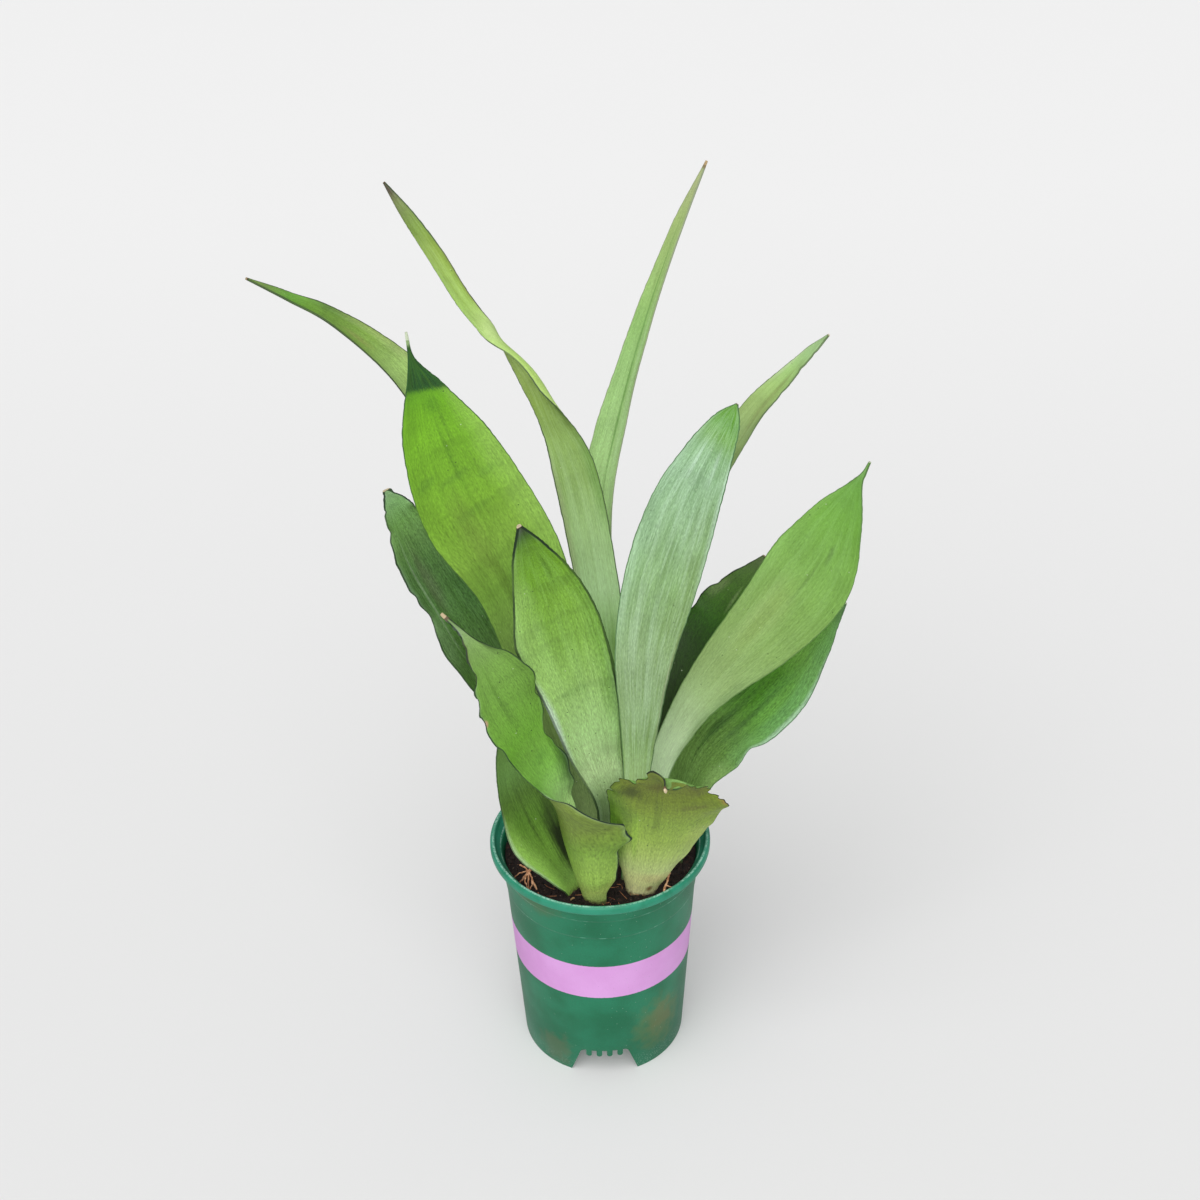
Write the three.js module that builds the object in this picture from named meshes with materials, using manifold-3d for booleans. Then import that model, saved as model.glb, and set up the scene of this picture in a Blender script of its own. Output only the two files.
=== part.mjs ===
// A moonshine snake plant in a tall green nursery pot.
// Units are millimetres, +Z is up. The pot's axis is x = 0, y = 0 while the pieces are made;
// the whole group is then shifted so that the origin lies under the middle of its box.

import * as THREE from 'three';
import { mergeVertices } from 'three/addons/utils/BufferGeometryUtils.js';
import Module from 'manifold-3d';

const wasm = await Module();
wasm.setup();

// Pot
const POT_HEIGHT = 148.3;
const RIM_RADIUS = 65;
const BASE_RADIUS = 49.3;
const WALL_TAPER = 0.061;
const WALL = 1.3;
const FOOT_BEVEL = 0.3;
// The rolled lip: how far in from the rim and how far down from the top each of its corners
// lies, from its underside over the top to its inside.
const LIP = [[0.7, 5.7], [0, 4.7], [0, 1.9], [0.8, 0.4], [1.9, 0], [2.8, 0.6], [3.8, 2.8]];
const LIP_FLARE = 0.4;
const NECK = 141.6;
const THROAT = 138.6;
const SHOULDERS = [117, 131];
const SHOULDER_STEP = 0.4;
const FLOOR_UNDERSIDE = 21;
const FLOOR_THICKNESS = 1.6;
const FOOT_WINDOWS = 3;
const WINDOW_TOP = 20;
const WINDOW_HALF_BOTTOM = 20.5;
const WINDOW_HALF_TOP = 14;
const WINDOW_CORNER = 2.5;
const WINDOW_CUT_DEPTH = 30;
const TEETH = 4;
const TOOTH_PITCH = 6.3;
const TOOTH_LENGTH = 5;
const TOOTH_WIDTH = 3.4;
const DRAIN_HOLE_RADIUS = 5;
const DRAIN_SLOT = [3, 13];
const DRAIN_SLOT_RING = 34;
const DRAIN_SLOTS = 6;
const DRAIN_CUT_HEIGHT = 10;
const POT_SIDES = 42;
const HOLE_SIDES = 24;
const FLOOR_TOP = FLOOR_UNDERSIDE + FLOOR_THICKNESS;

// Soil and what lies in it
const CLEARANCE = 0.4;
const HEART_CLEARANCE = 0.5;
const SOIL_TO_WALL = 0.75;
const SOIL_TOP = 137;
const SOIL_RELIEF = 1.2;
const SOIL_SIDES = 36;
const SOIL_RINGS = [54, 46, 36, 25, 13];
const RHIZOME_FLATNESS = 0.62;
const RHIZOME_KNOBS = [
  [0, -4, 108, 20],
  [-6, 12, 107, 15],
  [22, -10, 108, 17],
  [24, 12, 107, 14],
  [-14, -20, 107, 17],
  [6, -34, 106, 14],
];
const KNOB_SIDES = 10;
const KNOB_RINGS = 6;
const ROOT_RADIUS = 0.7;
const ROOT_STEPS = 10;

// Leaves
const LEAF_STEPS = 18;
const LEAF_COLUMNS = 6;
const MARGIN_THICKNESS = 0.9;
const BLADE_THICKNESS = 2;
const BASE_THICKNESS = 4.6;
const EDGE_SLOPE = 0.5;
const FACE_LIFT = 0.5;

// Colours
const POT_GREEN = 0x2f8560;
const ROOT_STRAW = 0xd9b58a;
const SOIL_BROWN = 0x2b1d18;
const RHIZOME_TAN = 0xb98b57;

// A leaf is a list of stations from its foot in the soil to its tip. A station holds the
// midrib's x, y and z, the half-width left and right of it, the compass direction in degrees
// that the inner face looks in, and how far in degrees the left and right margins curl inwards.
// waves holds single waves of a margin: side, station, reach in stations, lift and push in mm.
const LEAVES = {
  leaf_far_left: {
    color: 0x7fa650,
    stations: [
      [-7, 16, 108, 8, 8, -70, 40, 40],
      [-7, 14, 150, 9, 9, -65, 40, 40],
      [-14, 16, 210, 11, 11, -60, 36, 36],
      [-34, 22, 282, 13, 13, -50, 34, 34],
      [-56, 29, 347, 13, 14, -40, 32, 32],
      [-78, 36, 392, 12, 16, -30, 32, 32],
      [-103, 46, 428, 8.5, 15, -25, 32, 32],
      [-134, 54, 453, 3, 9, -25, 32, 32],
      [-157, 60, 464, 1.2, 5.5, -25, 28, 28],
      [-179, 66, 474, 0.6, 0.6, -25, 20, 20],
    ],
    waves: [],
  },
  leaf_big_left: {
    color: 0x74a832,
    stations: [
      [-5, -3, 108, 8, 8, -75, 40, 40],
      [-6, -2, 150, 10, 10, -75, 36, 36],
      [-15, 0, 202, 14, 15, -70, 28, 28],
      [-29, 2, 268, 21, 25, -66, 22, 22],
      [-43, 4, 325, 25, 30, -66, 18, 18],
      [-62, 2, 372, 32, 30, -66, 16, 16],
      [-76, 1, 410, 25, 23, -66, 16, 16],
      [-83, 0, 437, 13.5, 13.5, -66, 18, 18],
      [-88.5, 0, 456, 3, 3, -66, 20, 20],
      [-90, 0, 471, 0.6, 0.6, -66, 20, 20],
    ],
    waves: [],
  },
  leaf_twisted: {
    color: 0x93b26c,
    stations: [
      [12, 8, 108, 8, 8, -90, 40, 40],
      [11, 8, 150, 9, 9, -90, 36, 36],
      [6, 15, 238, 13, 13, -85, 28, 28],
      [1, 20, 306, 12, 13, -80, 24, 24],
      [-8, 23, 372, 13.5, 12, -80, 22, 22],
      [-20, 29, 404, 10, 12, -105, 22, 22],
      [-33, 36, 426, 8, 10, -160, 24, 24],
      [-49, 44, 446, 5.5, 5.5, -225, 24, 24],
      [-63, 49, 465, 5, 5.5, -252, 22, 22],
      [-79, 57, 490, 4.5, 5.5, -260, 22, 22],
      [-93, 64, 510, 3, 4, -260, 20, 20],
      [-103, 70, 523, 0.6, 0.6, -260, 20, 20],
    ],
    waves: [],
  },
  leaf_top: {
    color: 0x8fbd62,
    stations: [
      [9, 23, 108, 8, 8, -105, 40, 40],
      [9, 23, 150, 9, 9, -110, 40, 40],
      [6, 29, 219, 12, 11, -120, 38, 38],
      [3, 36, 280, 15, 12, -130, 38, 38],
      [5, 42, 350, 14.5, 14.5, -140, 38, 38],
      [13, 51, 388, 12, 11, -140, 38, 38],
      [24, 64, 425, 9, 8, -140, 36, 36],
      [36, 78, 458, 6.5, 6, -140, 34, 34],
      [50, 92, 491, 4, 4, -140, 30, 30],
      [64, 104, 519, 0.6, 0.6, -140, 20, 20],
    ],
    waves: [],
  },
  leaf_center_front: {
    color: 0x86b347,
    stations: [
      [4, -15, 108, 8, 8, -85, 36, 36],
      [5, -15, 150, 8, 8, -85, 32, 28],
      [6, -16, 185, 9, 9, -82, 30, 24],
      [-2, -18, 228, 17, 13, -80, 28, 22],
      [-12, -23, 274, 21, 20, -78, 24, 20],
      [-20, -28, 316, 27, 22, -76, 20, 18],
      [-28, -34, 347, 18, 17, -74, 20, 18],
      [-33, -39, 369, 10, 8.5, -74, 20, 18],
      [-37, -42, 384, 1, 1, -74, 20, 18],
    ],
    waves: [],
  },
  leaf_silver_right: {
    color: 0x9dc49a,
    stations: [
      [18, -27, 108, 7, 7, -95, 30, 30],
      [20, -27, 150, 8, 8, -95, 26, 26],
      [22, -26, 208, 8, 7, -98, 20, 20],
      [24, -26, 252, 12, 11, -100, 18, 18],
      [27, -26, 295, 17, 16, -104, 18, 18],
      [35, -25, 338, 20, 20.5, -108, 18, 18],
      [47, -23, 379, 19, 19, -110, 18, 18],
      [59, -20, 409, 13, 14, -112, 18, 18],
      [68, -18, 427, 7.5, 8, -112, 16, 16],
      [73, -16, 436, 0.7, 0.7, -112, 16, 16],
    ],
    waves: [],
  },
  leaf_upper_right: {
    color: 0x86b558,
    stations: [
      [27, 19, 108, 7, 7, -110, 40, 40],
      [26, 20, 150, 8, 8, -115, 40, 40],
      [29, 32, 208, 10, 10, -132, 36, 36],
      [41, 51, 281, 13, 12, -144, 34, 34],
      [59, 48, 339, 13, 13, -145, 34, 34],
      [75, 58, 368, 12, 12, -150, 34, 34],
      [92, 67, 391, 10, 9.5, -150, 34, 34],
      [108, 74, 407, 6.5, 7.5, -150, 30, 30],
      [120, 80, 418, 3.8, 4.8, -150, 26, 26],
      [131, 84, 427, 0.6, 0.6, -150, 20, 20],
    ],
    waves: [],
  },
  leaf_dark_right: {
    color: 0x31521f,
    stations: [
      [29, 2, 108, 7, 7, -115, 40, 40],
      [29, 2, 150, 8, 8, -118, 38, 38],
      [38, 7, 198, 12, 12, -125, 34, 34],
      [51, 18, 236, 17, 13, -130, 30, 30],
      [63, 31, 259, 20, 18, -132, 26, 26],
      [77, 40, 280, 18, 15, -134, 24, 24],
      [89, 48, 295, 8.5, 9, -134, 24, 24],
      [97, 54, 305, 0.8, 0.8, -134, 20, 20],
    ],
    waves: [],
  },
  leaf_big_right: {
    color: 0x7db04c,
    stations: [
      [33, -14, 108, 7, 7, -112, 40, 40],
      [31, -15, 150, 8, 8, -114, 36, 36],
      [34, -17, 206, 7, 8, -116, 32, 32],
      [50, -18, 247, 11, 11, -118, 28, 28],
      [67, -20, 275, 15.5, 15.5, -120, 24, 24],
      [93, -26, 314, 21, 24, -120, 20, 20],
      [113, -30, 347, 24, 26, -120, 20, 20],
      [125, -33, 378, 15, 15.5, -120, 20, 20],
      [133, -34, 400, 4.5, 4.5, -120, 20, 20],
      [138, -34, 411, 0.7, 0.7, -120, 20, 20],
    ],
    waves: [],
  },
  leaf_low_right: {
    color: 0x4f8a3c,
    stations: [
      [43, -8, 108, 8, 8, -130, 40, 40],
      [45, -10, 150, 9, 8, -130, 38, 38],
      [52, -10, 197, 16, 17, -128, 34, 34],
      [63, -9, 222, 20, 24, -125, 28, 28],
      [81, -8, 242, 24, 26, -125, 24, 24],
      [101, -8, 267, 24, 25, -125, 22, 22],
      [120, -8, 295, 15, 14.5, -125, 22, 22],
      [129, -8, 305, 7, 6, -125, 20, 20],
      [135, -8, 312, 0.8, 0.8, -125, 20, 20],
    ],
    waves: [['right', 3.7, 0.28, 0, -4]],
  },
  leaf_back_left: {
    color: 0x3d6b39,
    stations: [
      [-18, -2, 108, 7, 7, -60, 36, 36],
      [-19, -2, 150, 9, 9, -60, 34, 34],
      [-31, 1, 190, 12, 14, -60, 30, 30],
      [-48, 6, 231, 13, 19, -60, 26, 26],
      [-68, 11, 272, 15, 22, -60, 24, 24],
      [-83, 15, 300, 14, 22, -60, 22, 22],
      [-96, 19, 326, 12.5, 20, -60, 20, 20],
      [-105, 21, 350, 8, 14, -60, 20, 20],
      [-109, 22, 362, 4, 9, -60, 20, 20],
      [-111, 22, 370, 1, 1, -60, 20, 20],
    ],
    waves: [['left', 3.2, 0.3, 0, -3], ['left', 4.3, 0.3, 0, 2], ['left', 5, 0.25, 0, -3]],
  },
  leaf_left_front: {
    color: 0x659f44,
    stations: [
      [-7, -42, 110, 9, 6, 40, 60, 50],
      [-8, -43, 136, 13, 7, 36, 80, 60],
      [-13, -44, 155, 25, 13, 20, 100, 70],
      [-19, -46, 183, 36, 19, 12, 108, 70],
      [-23, -45, 206, 29, 19, 5, 80, 60],
      [-29, -42, 227, 20, 17, -32, 50, 40],
      [-38, -42, 255, 22, 14, -52, 30, 26],
      [-48, -46, 281, 19, 19, -72, 22, 22],
      [-58, -48, 302, 9, 16, -74, 20, 20],
      [-67, -49, 323, 3, 3, -74, 20, 20],
      [-78, -51, 338, 0.8, 0.8, -70, 20, 20],
    ],
    waves: [['left', 3.6, 0.35, 9, 2]],
  },
  leaf_low_left: {
    color: 0x4f8f33,
    stations: [
      [-16, -34, 110, 8, 7, -50, 46, 46],
      [-15, -35, 137, 9, 7, -50, 44, 44],
      [-25, -36, 158, 14, 13, -52, 38, 38],
      [-35, -36, 182, 22, 17, -55, 30, 30],
      [-44, -34, 206, 16, 17, -58, 26, 26],
      [-50, -32, 226, 9, 13, -60, 24, 24],
      [-54, -30, 243, 0.8, 0.8, -60, 24, 24],
    ],
    waves: [],
  },
  leaf_front_right: {
    color: 0x8a9a45,
    stations: [
      [23, -40, 110, 8, 8, 86, 46, 46],
      [23, -41, 137, 10, 10, 86, 44, 44],
      [27, -50, 163, 18, 19, 84, 40, 36],
      [31, -59, 189, 25, 27, 82, 36, 30],
      [34, -67, 211, 30, 31, 80, 34, 26],
      [35, -73, 227, 31, 33, 80, 34, 24],
      [35, -76, 241, 23, 24, 80, 34, 24],
      [34, -79, 250, 11, 8, 80, 30, 24],
      [35, -87, 248, 1, 1, 80, 30, 30],
    ],
    waves: [],
  },
};

// Thin roots that lie on the soil: x, y and height over the soil. Their ends dip into it.
const ROOTS = {
  roots_left: [
    [[-50, -12, -1.6], [-46, -16, 1.2], [-42, -22, 2.2], [-39, -30, 1.4], [-35, -41, -1.8]],
    [[-47, -26, -1.6], [-44, -24, 1.4], [-42, -22, 2.2], [-38, -19, 1.4], [-33, -21, -1.6]],
    [[-42, -33, -1.6], [-42, -28, 1.6], [-42, -22, 2.2], [-40, -15, 1.2], [-41, -9, -1.6]],
  ],
  root_right: [
    [[38, -20, -1.8], [40, -25, 1.3], [39, -32, 2.2], [37, -38, 1.2], [35, -43, -1.8]],
  ],
};

function soilTop(x, y) {
  // The soil is nearly level, with low humps and hollows.
  const humps = Math.sin(x / 9 + 1) * Math.cos(y / 11);
  const ripples = 0.5 * Math.sin((x + y) / 5);
  return SOIL_TOP + SOIL_RELIEF * (humps + ripples);
}

function wallRadius(z) {
  // Outside of the wall. It tapers, and steps out a little above each shoulder.
  const steps = SHOULDERS.filter((shoulder) => z > shoulder).length;
  return BASE_RADIUS + WALL_TAPER * z + SHOULDER_STEP * steps;
}

function innerRadius(z) {
  return wallRadius(z) - WALL;
}

function shoulderRows(radius) {
  // The two ends of each faint step of a wall, from the lowest to the highest.
  return SHOULDERS.flatMap((z) => [[radius(z), z], [radius(z + 1), z + 1]]);
}

function closedBody(geometry) {
  const bare = geometry.clone();
  bare.deleteAttribute('normal');
  bare.deleteAttribute('uv');
  const merged = mergeVertices(bare, 1e-4);
  // Triangles that shrank to a line, such as those at the poles of a lathe, are dropped.
  const old = merged.index.array;
  const kept = [];
  for (let i = 0; i < old.length; i += 3) {
    const [a, b, c] = [old[i], old[i + 1], old[i + 2]];
    if (a !== b && b !== c && c !== a) kept.push(a, b, c);
  }
  merged.setIndex(kept);
  return merged;
}

function toManifold(geometry) {
  const merged = closedBody(geometry);
  return new wasm.Manifold(new wasm.Mesh({
    numProp: 3,
    vertProperties: new Float32Array(merged.attributes.position.array),
    triVerts: new Uint32Array(merged.index.array),
  }));
}

function fromManifold(solid) {
  const mesh = solid.getMesh();
  const geometry = new THREE.BufferGeometry();
  geometry.setAttribute('position', new THREE.BufferAttribute(new Float32Array(mesh.vertProperties), 3));
  geometry.setIndex(new THREE.BufferAttribute(new Uint32Array(mesh.triVerts), 1));
  geometry.computeVertexNormals();
  return geometry;
}

function lathe(profile, sides) {
  // The profile runs from the axis at the bottom, out and up, and back to the axis.
  const geometry = new THREE.LatheGeometry(profile.map(([r, z]) => new THREE.Vector2(r, z)), sides);
  geometry.rotateX(Math.PI / 2);
  return geometry;
}

function alongStations(rows, t) {
  // A smooth Catmull-Rom curve through the rows, with the end rows mirrored outwards.
  const last = rows.length - 1;
  const k = Math.min(Math.floor(t * last), last - 1);
  const u = t * last - k;
  const at = (i, c) => {
    if (i < 0) return 2 * rows[0][c] - rows[1][c];
    if (i > last) return 2 * rows[last][c] - rows[last - 1][c];
    return rows[i][c];
  };
  return rows[0].map((_, c) => {
    const [a, b, d, e] = [at(k - 1, c), at(k, c), at(k + 1, c), at(k + 2, c)];
    const square = 2 * a - 5 * b + 4 * d - e;
    const cube = 3 * b - a - 3 * d + e;
    return 0.5 * (2 * b + (d - a) * u + square * u ** 2 + cube * u ** 3);
  });
}

function leafSection(leaf, t, grow) {
  // One row across the blade: points of the inner face, then points of the outer face.
  const rows = leaf.stations;
  const [x, y, z, left, right, face, curlLeft, curlRight] = alongStations(rows, t);
  const step = 1e-3;
  const before = alongStations(rows, Math.max(t - step, 0));
  const after = alongStations(rows, Math.min(t + step, 1));
  const along = new THREE.Vector3(...after).sub(new THREE.Vector3(...before)).normalize();
  const compass = THREE.MathUtils.degToRad(face);
  const facing = new THREE.Vector3(Math.cos(compass), Math.sin(compass), FACE_LIFT);
  const across = new THREE.Vector3().crossVectors(along, facing).normalize();
  const inward = new THREE.Vector3().crossVectors(across, along);
  const narrow = Math.min(left, right);
  const fullMiddle = BLADE_THICKNESS + (BASE_THICKNESS - BLADE_THICKNESS) * (1 - t) ** 3;
  const middle = Math.min(fullMiddle, MARGIN_THICKNESS + EDGE_SLOPE * narrow);
  const centre = new THREE.Vector3(x, y, z);
  if (t === 0) centre.addScaledVector(along, -grow);
  if (t === 1) centre.addScaledVector(along, grow);
  const faces = [[], []];
  for (let column = 0; column <= LEAF_COLUMNS; column += 1) {
    const v = (2 * column) / LEAF_COLUMNS - 1;
    const side = Math.sign(v);
    const half = Math.max(v < 0 ? left : right, 0.5) + grow;
    const curl = THREE.MathUtils.degToRad(Math.max(v < 0 ? curlLeft : curlRight, 1));
    const turn = curl * Math.abs(v);
    let out = (half * Math.sin(turn)) / curl;
    let rise = (half * (1 - Math.cos(turn))) / curl;
    for (const [waveSide, station, reach, lift, push] of leaf.waves) {
      if (waveSide !== (side < 0 ? 'left' : 'right')) continue;
      const bell = Math.exp(-(((t * (rows.length - 1) - station) / reach) ** 2)) * Math.abs(v) ** 3;
      rise += lift * bell;
      out += push * bell;
    }
    const thickness = MARGIN_THICKNESS + (middle - MARGIN_THICKNESS) * (1 - v * v) + 2 * grow;
    const normal = inward.clone().multiplyScalar(Math.cos(turn));
    normal.addScaledVector(across, -side * Math.sin(turn));
    const point = centre.clone().addScaledVector(across, side * out).addScaledVector(inward, rise);
    faces[0].push(point.clone().addScaledVector(normal, thickness / 2));
    faces[1].push(point.clone().addScaledVector(normal, -thickness / 2));
  }
  return faces;
}

function leafGeometry(leaf, grow = 0) {
  // A closed blade: an inner and an outer skin split alike, joined at the margins and ends.
  const positions = [];
  const index = [];
  const row = LEAF_COLUMNS + 1;
  const skin = (LEAF_STEPS + 1) * row;
  const skins = [[], []];
  for (let i = 0; i <= LEAF_STEPS; i += 1) {
    const section = leafSection(leaf, i / LEAF_STEPS, grow);
    skins[0].push(...section[0]);
    skins[1].push(...section[1]);
  }
  for (const point of [...skins[0], ...skins[1]]) positions.push(point.x, point.y, point.z);
  const quad = (a, b, c, d) => index.push(a, b, d, a, d, c);
  for (let i = 0; i < LEAF_STEPS; i += 1) {
    for (let j = 0; j < LEAF_COLUMNS; j += 1) {
      const a = i * row + j;
      quad(a, a + 1, a + row, a + row + 1);
      index.push(skin + a, skin + a + row + 1, skin + a + 1);
      index.push(skin + a, skin + a + row, skin + a + row + 1);
    }
    const left = i * row;
    const right = left + LEAF_COLUMNS;
    quad(left + row, skin + left + row, left, skin + left);
    quad(right, skin + right, right + row, skin + right + row);
  }
  for (let j = 0; j < LEAF_COLUMNS; j += 1) {
    const tip = LEAF_STEPS * row + j;
    quad(j, skin + j, j + 1, skin + j + 1);
    quad(tip + 1, skin + tip + 1, tip, skin + tip);
  }
  const geometry = new THREE.BufferGeometry();
  geometry.setAttribute('position', new THREE.Float32BufferAttribute(positions, 3));
  geometry.setIndex(index);
  return geometry;
}

function potGeometry() {
  // A thin-walled beaker: tapered wall with two faint steps, a rolled lip and a raised floor.
  const profile = [
    [0, FLOOR_UNDERSIDE],
    [innerRadius(FLOOR_UNDERSIDE), FLOOR_UNDERSIDE],
    [innerRadius(FOOT_BEVEL), FOOT_BEVEL],
    [innerRadius(0) + FOOT_BEVEL, 0],
    [wallRadius(0) - FOOT_BEVEL, 0],
    [wallRadius(FOOT_BEVEL), FOOT_BEVEL],
    ...shoulderRows(wallRadius),
    [wallRadius(NECK), NECK],
    ...LIP.map(([inward, down]) => [RIM_RADIUS - inward, POT_HEIGHT - down]),
    [innerRadius(NECK) + LIP_FLARE, NECK - LIP_FLARE],
    [innerRadius(THROAT), THROAT],
    ...shoulderRows(innerRadius).reverse(),
    [innerRadius(FLOOR_TOP), FLOOR_TOP],
    [0, FLOOR_TOP],
  ];
  let solid = toManifold(lathe(profile, POT_SIDES));
  for (let i = 0; i < FOOT_WINDOWS; i += 1) {
    solid = solid.subtract(toManifold(windowCutter(i * (2 * Math.PI) / FOOT_WINDOWS)));
  }
  solid = solid.subtract(toManifold(drainHole()));
  for (let i = 0; i < DRAIN_SLOTS; i += 1) {
    solid = solid.subtract(toManifold(drainSlot((i + 0.5) * (2 * Math.PI) / DRAIN_SLOTS)));
  }
  return fromManifold(solid);
}

function windowCutter(turn) {
  // A trapezoid window at the foot of the wall, with a comb of teeth hanging from its top.
  const shape = new THREE.Shape();
  const slope = (WINDOW_HALF_BOTTOM - WINDOW_HALF_TOP) / WINDOW_TOP;
  shape.moveTo(-WINDOW_HALF_BOTTOM, -1);
  shape.lineTo(WINDOW_HALF_BOTTOM, -1);
  shape.lineTo(WINDOW_HALF_TOP + WINDOW_CORNER * slope, WINDOW_TOP - WINDOW_CORNER);
  shape.quadraticCurveTo(WINDOW_HALF_TOP, WINDOW_TOP, WINDOW_HALF_TOP - WINDOW_CORNER, WINDOW_TOP);
  const first = ((TEETH - 1) * TOOTH_PITCH) / 2;
  const half = TOOTH_WIDTH / 2;
  const end = WINDOW_TOP - TOOTH_LENGTH;
  for (let i = 0; i < TEETH; i += 1) {
    const middle = first - i * TOOTH_PITCH;
    shape.lineTo(middle + half, WINDOW_TOP);
    shape.lineTo(middle + half, end + half);
    shape.quadraticCurveTo(middle + half, end, middle, end);
    shape.quadraticCurveTo(middle - half, end, middle - half, end + half);
    shape.lineTo(middle - half, WINDOW_TOP);
  }
  const cornerX = -WINDOW_HALF_TOP - WINDOW_CORNER * slope;
  shape.lineTo(-WINDOW_HALF_TOP + WINDOW_CORNER, WINDOW_TOP);
  shape.quadraticCurveTo(-WINDOW_HALF_TOP, WINDOW_TOP, cornerX, WINDOW_TOP - WINDOW_CORNER);
  shape.closePath();
  const geometry = new THREE.ExtrudeGeometry(shape, {
    depth: WINDOW_CUT_DEPTH, bevelEnabled: false, curveSegments: 3,
  });
  geometry.rotateX(Math.PI / 2);
  geometry.translate(0, -BASE_RADIUS + WINDOW_CUT_DEPTH / 2, 0);
  geometry.rotateZ(turn);
  return geometry;
}

function drainHole() {
  const radius = DRAIN_HOLE_RADIUS;
  const geometry = new THREE.CylinderGeometry(radius, radius, DRAIN_CUT_HEIGHT, HOLE_SIDES);
  geometry.rotateX(Math.PI / 2);
  geometry.translate(0, 0, FLOOR_UNDERSIDE + FLOOR_THICKNESS / 2);
  return geometry;
}

function drainSlot(turn) {
  const [width, length] = DRAIN_SLOT;
  const geometry = new THREE.BoxGeometry(length, width, DRAIN_CUT_HEIGHT);
  geometry.translate(DRAIN_SLOT_RING, 0, FLOOR_UNDERSIDE + FLOOR_THICKNESS / 2);
  geometry.rotateZ(turn);
  return geometry;
}

function soilBlock() {
  // The filling of the pot: rings of points over the top, then down the wall to the floor.
  const bottom = FLOOR_TOP + CLEARANCE;
  const radius = (z) => innerRadius(z) - SOIL_TO_WALL;
  const edge = [radius(SOIL_TOP), SOIL_TOP - SOIL_RELIEF - 1];
  const side = [edge, ...shoulderRows(radius).reverse(), [radius(bottom), bottom]];
  const rings = [...SOIL_RINGS].reverse();
  const positions = [0, 0, soilTop(0, 0), 0, 0, bottom];
  const addRing = (r, height) => {
    for (let i = 0; i < SOIL_SIDES; i += 1) {
      const angle = (i * 2 * Math.PI) / SOIL_SIDES;
      const x = r * Math.cos(angle);
      const y = r * Math.sin(angle);
      positions.push(x, y, height(x, y));
    }
  };
  for (const r of rings) addRing(r, soilTop);
  for (const [r, z] of side) addRing(r, () => z);
  const last = rings.length + side.length - 1;
  const at = (ring, i) => 2 + ring * SOIL_SIDES + (i % SOIL_SIDES);
  const index = [];
  for (let i = 0; i < SOIL_SIDES; i += 1) {
    index.push(0, at(0, i), at(0, i + 1));
    for (let ring = 0; ring < last; ring += 1) {
      index.push(at(ring, i), at(ring + 1, i), at(ring + 1, i + 1));
      index.push(at(ring, i), at(ring + 1, i + 1), at(ring, i + 1));
    }
    index.push(1, at(last, i + 1), at(last, i));
  }
  const geometry = new THREE.BufferGeometry();
  geometry.setAttribute('position', new THREE.Float32BufferAttribute(positions, 3));
  geometry.setIndex(index);
  return toManifold(geometry);
}

function knob([x, y, z, radius], grow) {
  const geometry = new THREE.SphereGeometry(1, KNOB_SIDES, KNOB_RINGS);
  geometry.rotateX(Math.PI / 2);
  geometry.scale(radius + grow, radius + grow, radius * RHIZOME_FLATNESS + grow);
  geometry.translate(x, y, z);
  return toManifold(geometry);
}

function rhizomeSolid(grow = 0) {
  // A short knobbly rootstock under the soil, which all the leaves grew from.
  return RHIZOME_KNOBS.map((row) => knob(row, grow)).reduce((all, next) => all.add(next));
}

function rootTube(points, grow) {
  const route = points.map(([x, y, lift]) => new THREE.Vector3(x, y, soilTop(x, y) + lift));
  const [first, second] = route;
  const [last, beforeLast] = [route.at(-1), route.at(-2)];
  first.addScaledVector(first.clone().sub(second).normalize(), grow);
  last.addScaledVector(last.clone().sub(beforeLast).normalize(), grow);
  const curve = new THREE.CatmullRomCurve3(route);
  const section = new THREE.Shape();
  section.absarc(0, 0, ROOT_RADIUS + grow, 0, 2 * Math.PI);
  const geometry = new THREE.ExtrudeGeometry(section, {
    steps: ROOT_STEPS, extrudePath: curve, bevelEnabled: false, curveSegments: 3,
  });
  return toManifold(geometry);
}

function rootSolid(strands, grow = 0) {
  return strands.map((points) => rootTube(points, grow)).reduce((all, next) => all.add(next));
}

const group = new THREE.Group();

function addMesh(name, geometry, color, roughness) {
  const material = new THREE.MeshStandardMaterial({ color, roughness, metalness: 0 });
  const mesh = new THREE.Mesh(geometry, material);
  mesh.name = name;
  group.add(mesh);
}

addMesh('pot', potGeometry(), POT_GREEN, 0.35);

const heart = rhizomeSolid(HEART_CLEARANCE);
let soil = soilBlock().subtract(heart);
for (const [name, leaf] of Object.entries(LEAVES)) {
  soil = soil.subtract(toManifold(leafGeometry(leaf, CLEARANCE)));
  const blade = toManifold(leafGeometry(leaf)).subtract(heart);
  addMesh(name, fromManifold(blade), leaf.color, 0.45);
}
for (const [name, strands] of Object.entries(ROOTS)) {
  soil = soil.subtract(rootSolid(strands, CLEARANCE));
  addMesh(name, fromManifold(rootSolid(strands)), ROOT_STRAW, 0.7);
}
addMesh('soil', fromManifold(soil), SOIL_BROWN, 0.95);
addMesh('rhizome', fromManifold(rhizomeSolid()), RHIZOME_TAN, 0.8);

// The origin goes under the middle of the whole plant's box, on the surface it stands on.
group.updateMatrixWorld(true);
const box = new THREE.Box3().setFromObject(group, true);
const middle = box.getCenter(new THREE.Vector3());
group.position.set(-middle.x, -middle.y, -box.min.z);

export default group;
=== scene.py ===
# A moonshine snake plant in a tall green nursery pot: the looks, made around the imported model.
# Sizes and places are millimetres from the pot's axis on the floor, unless a comment says
# otherwise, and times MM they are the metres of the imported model's frame.

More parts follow.
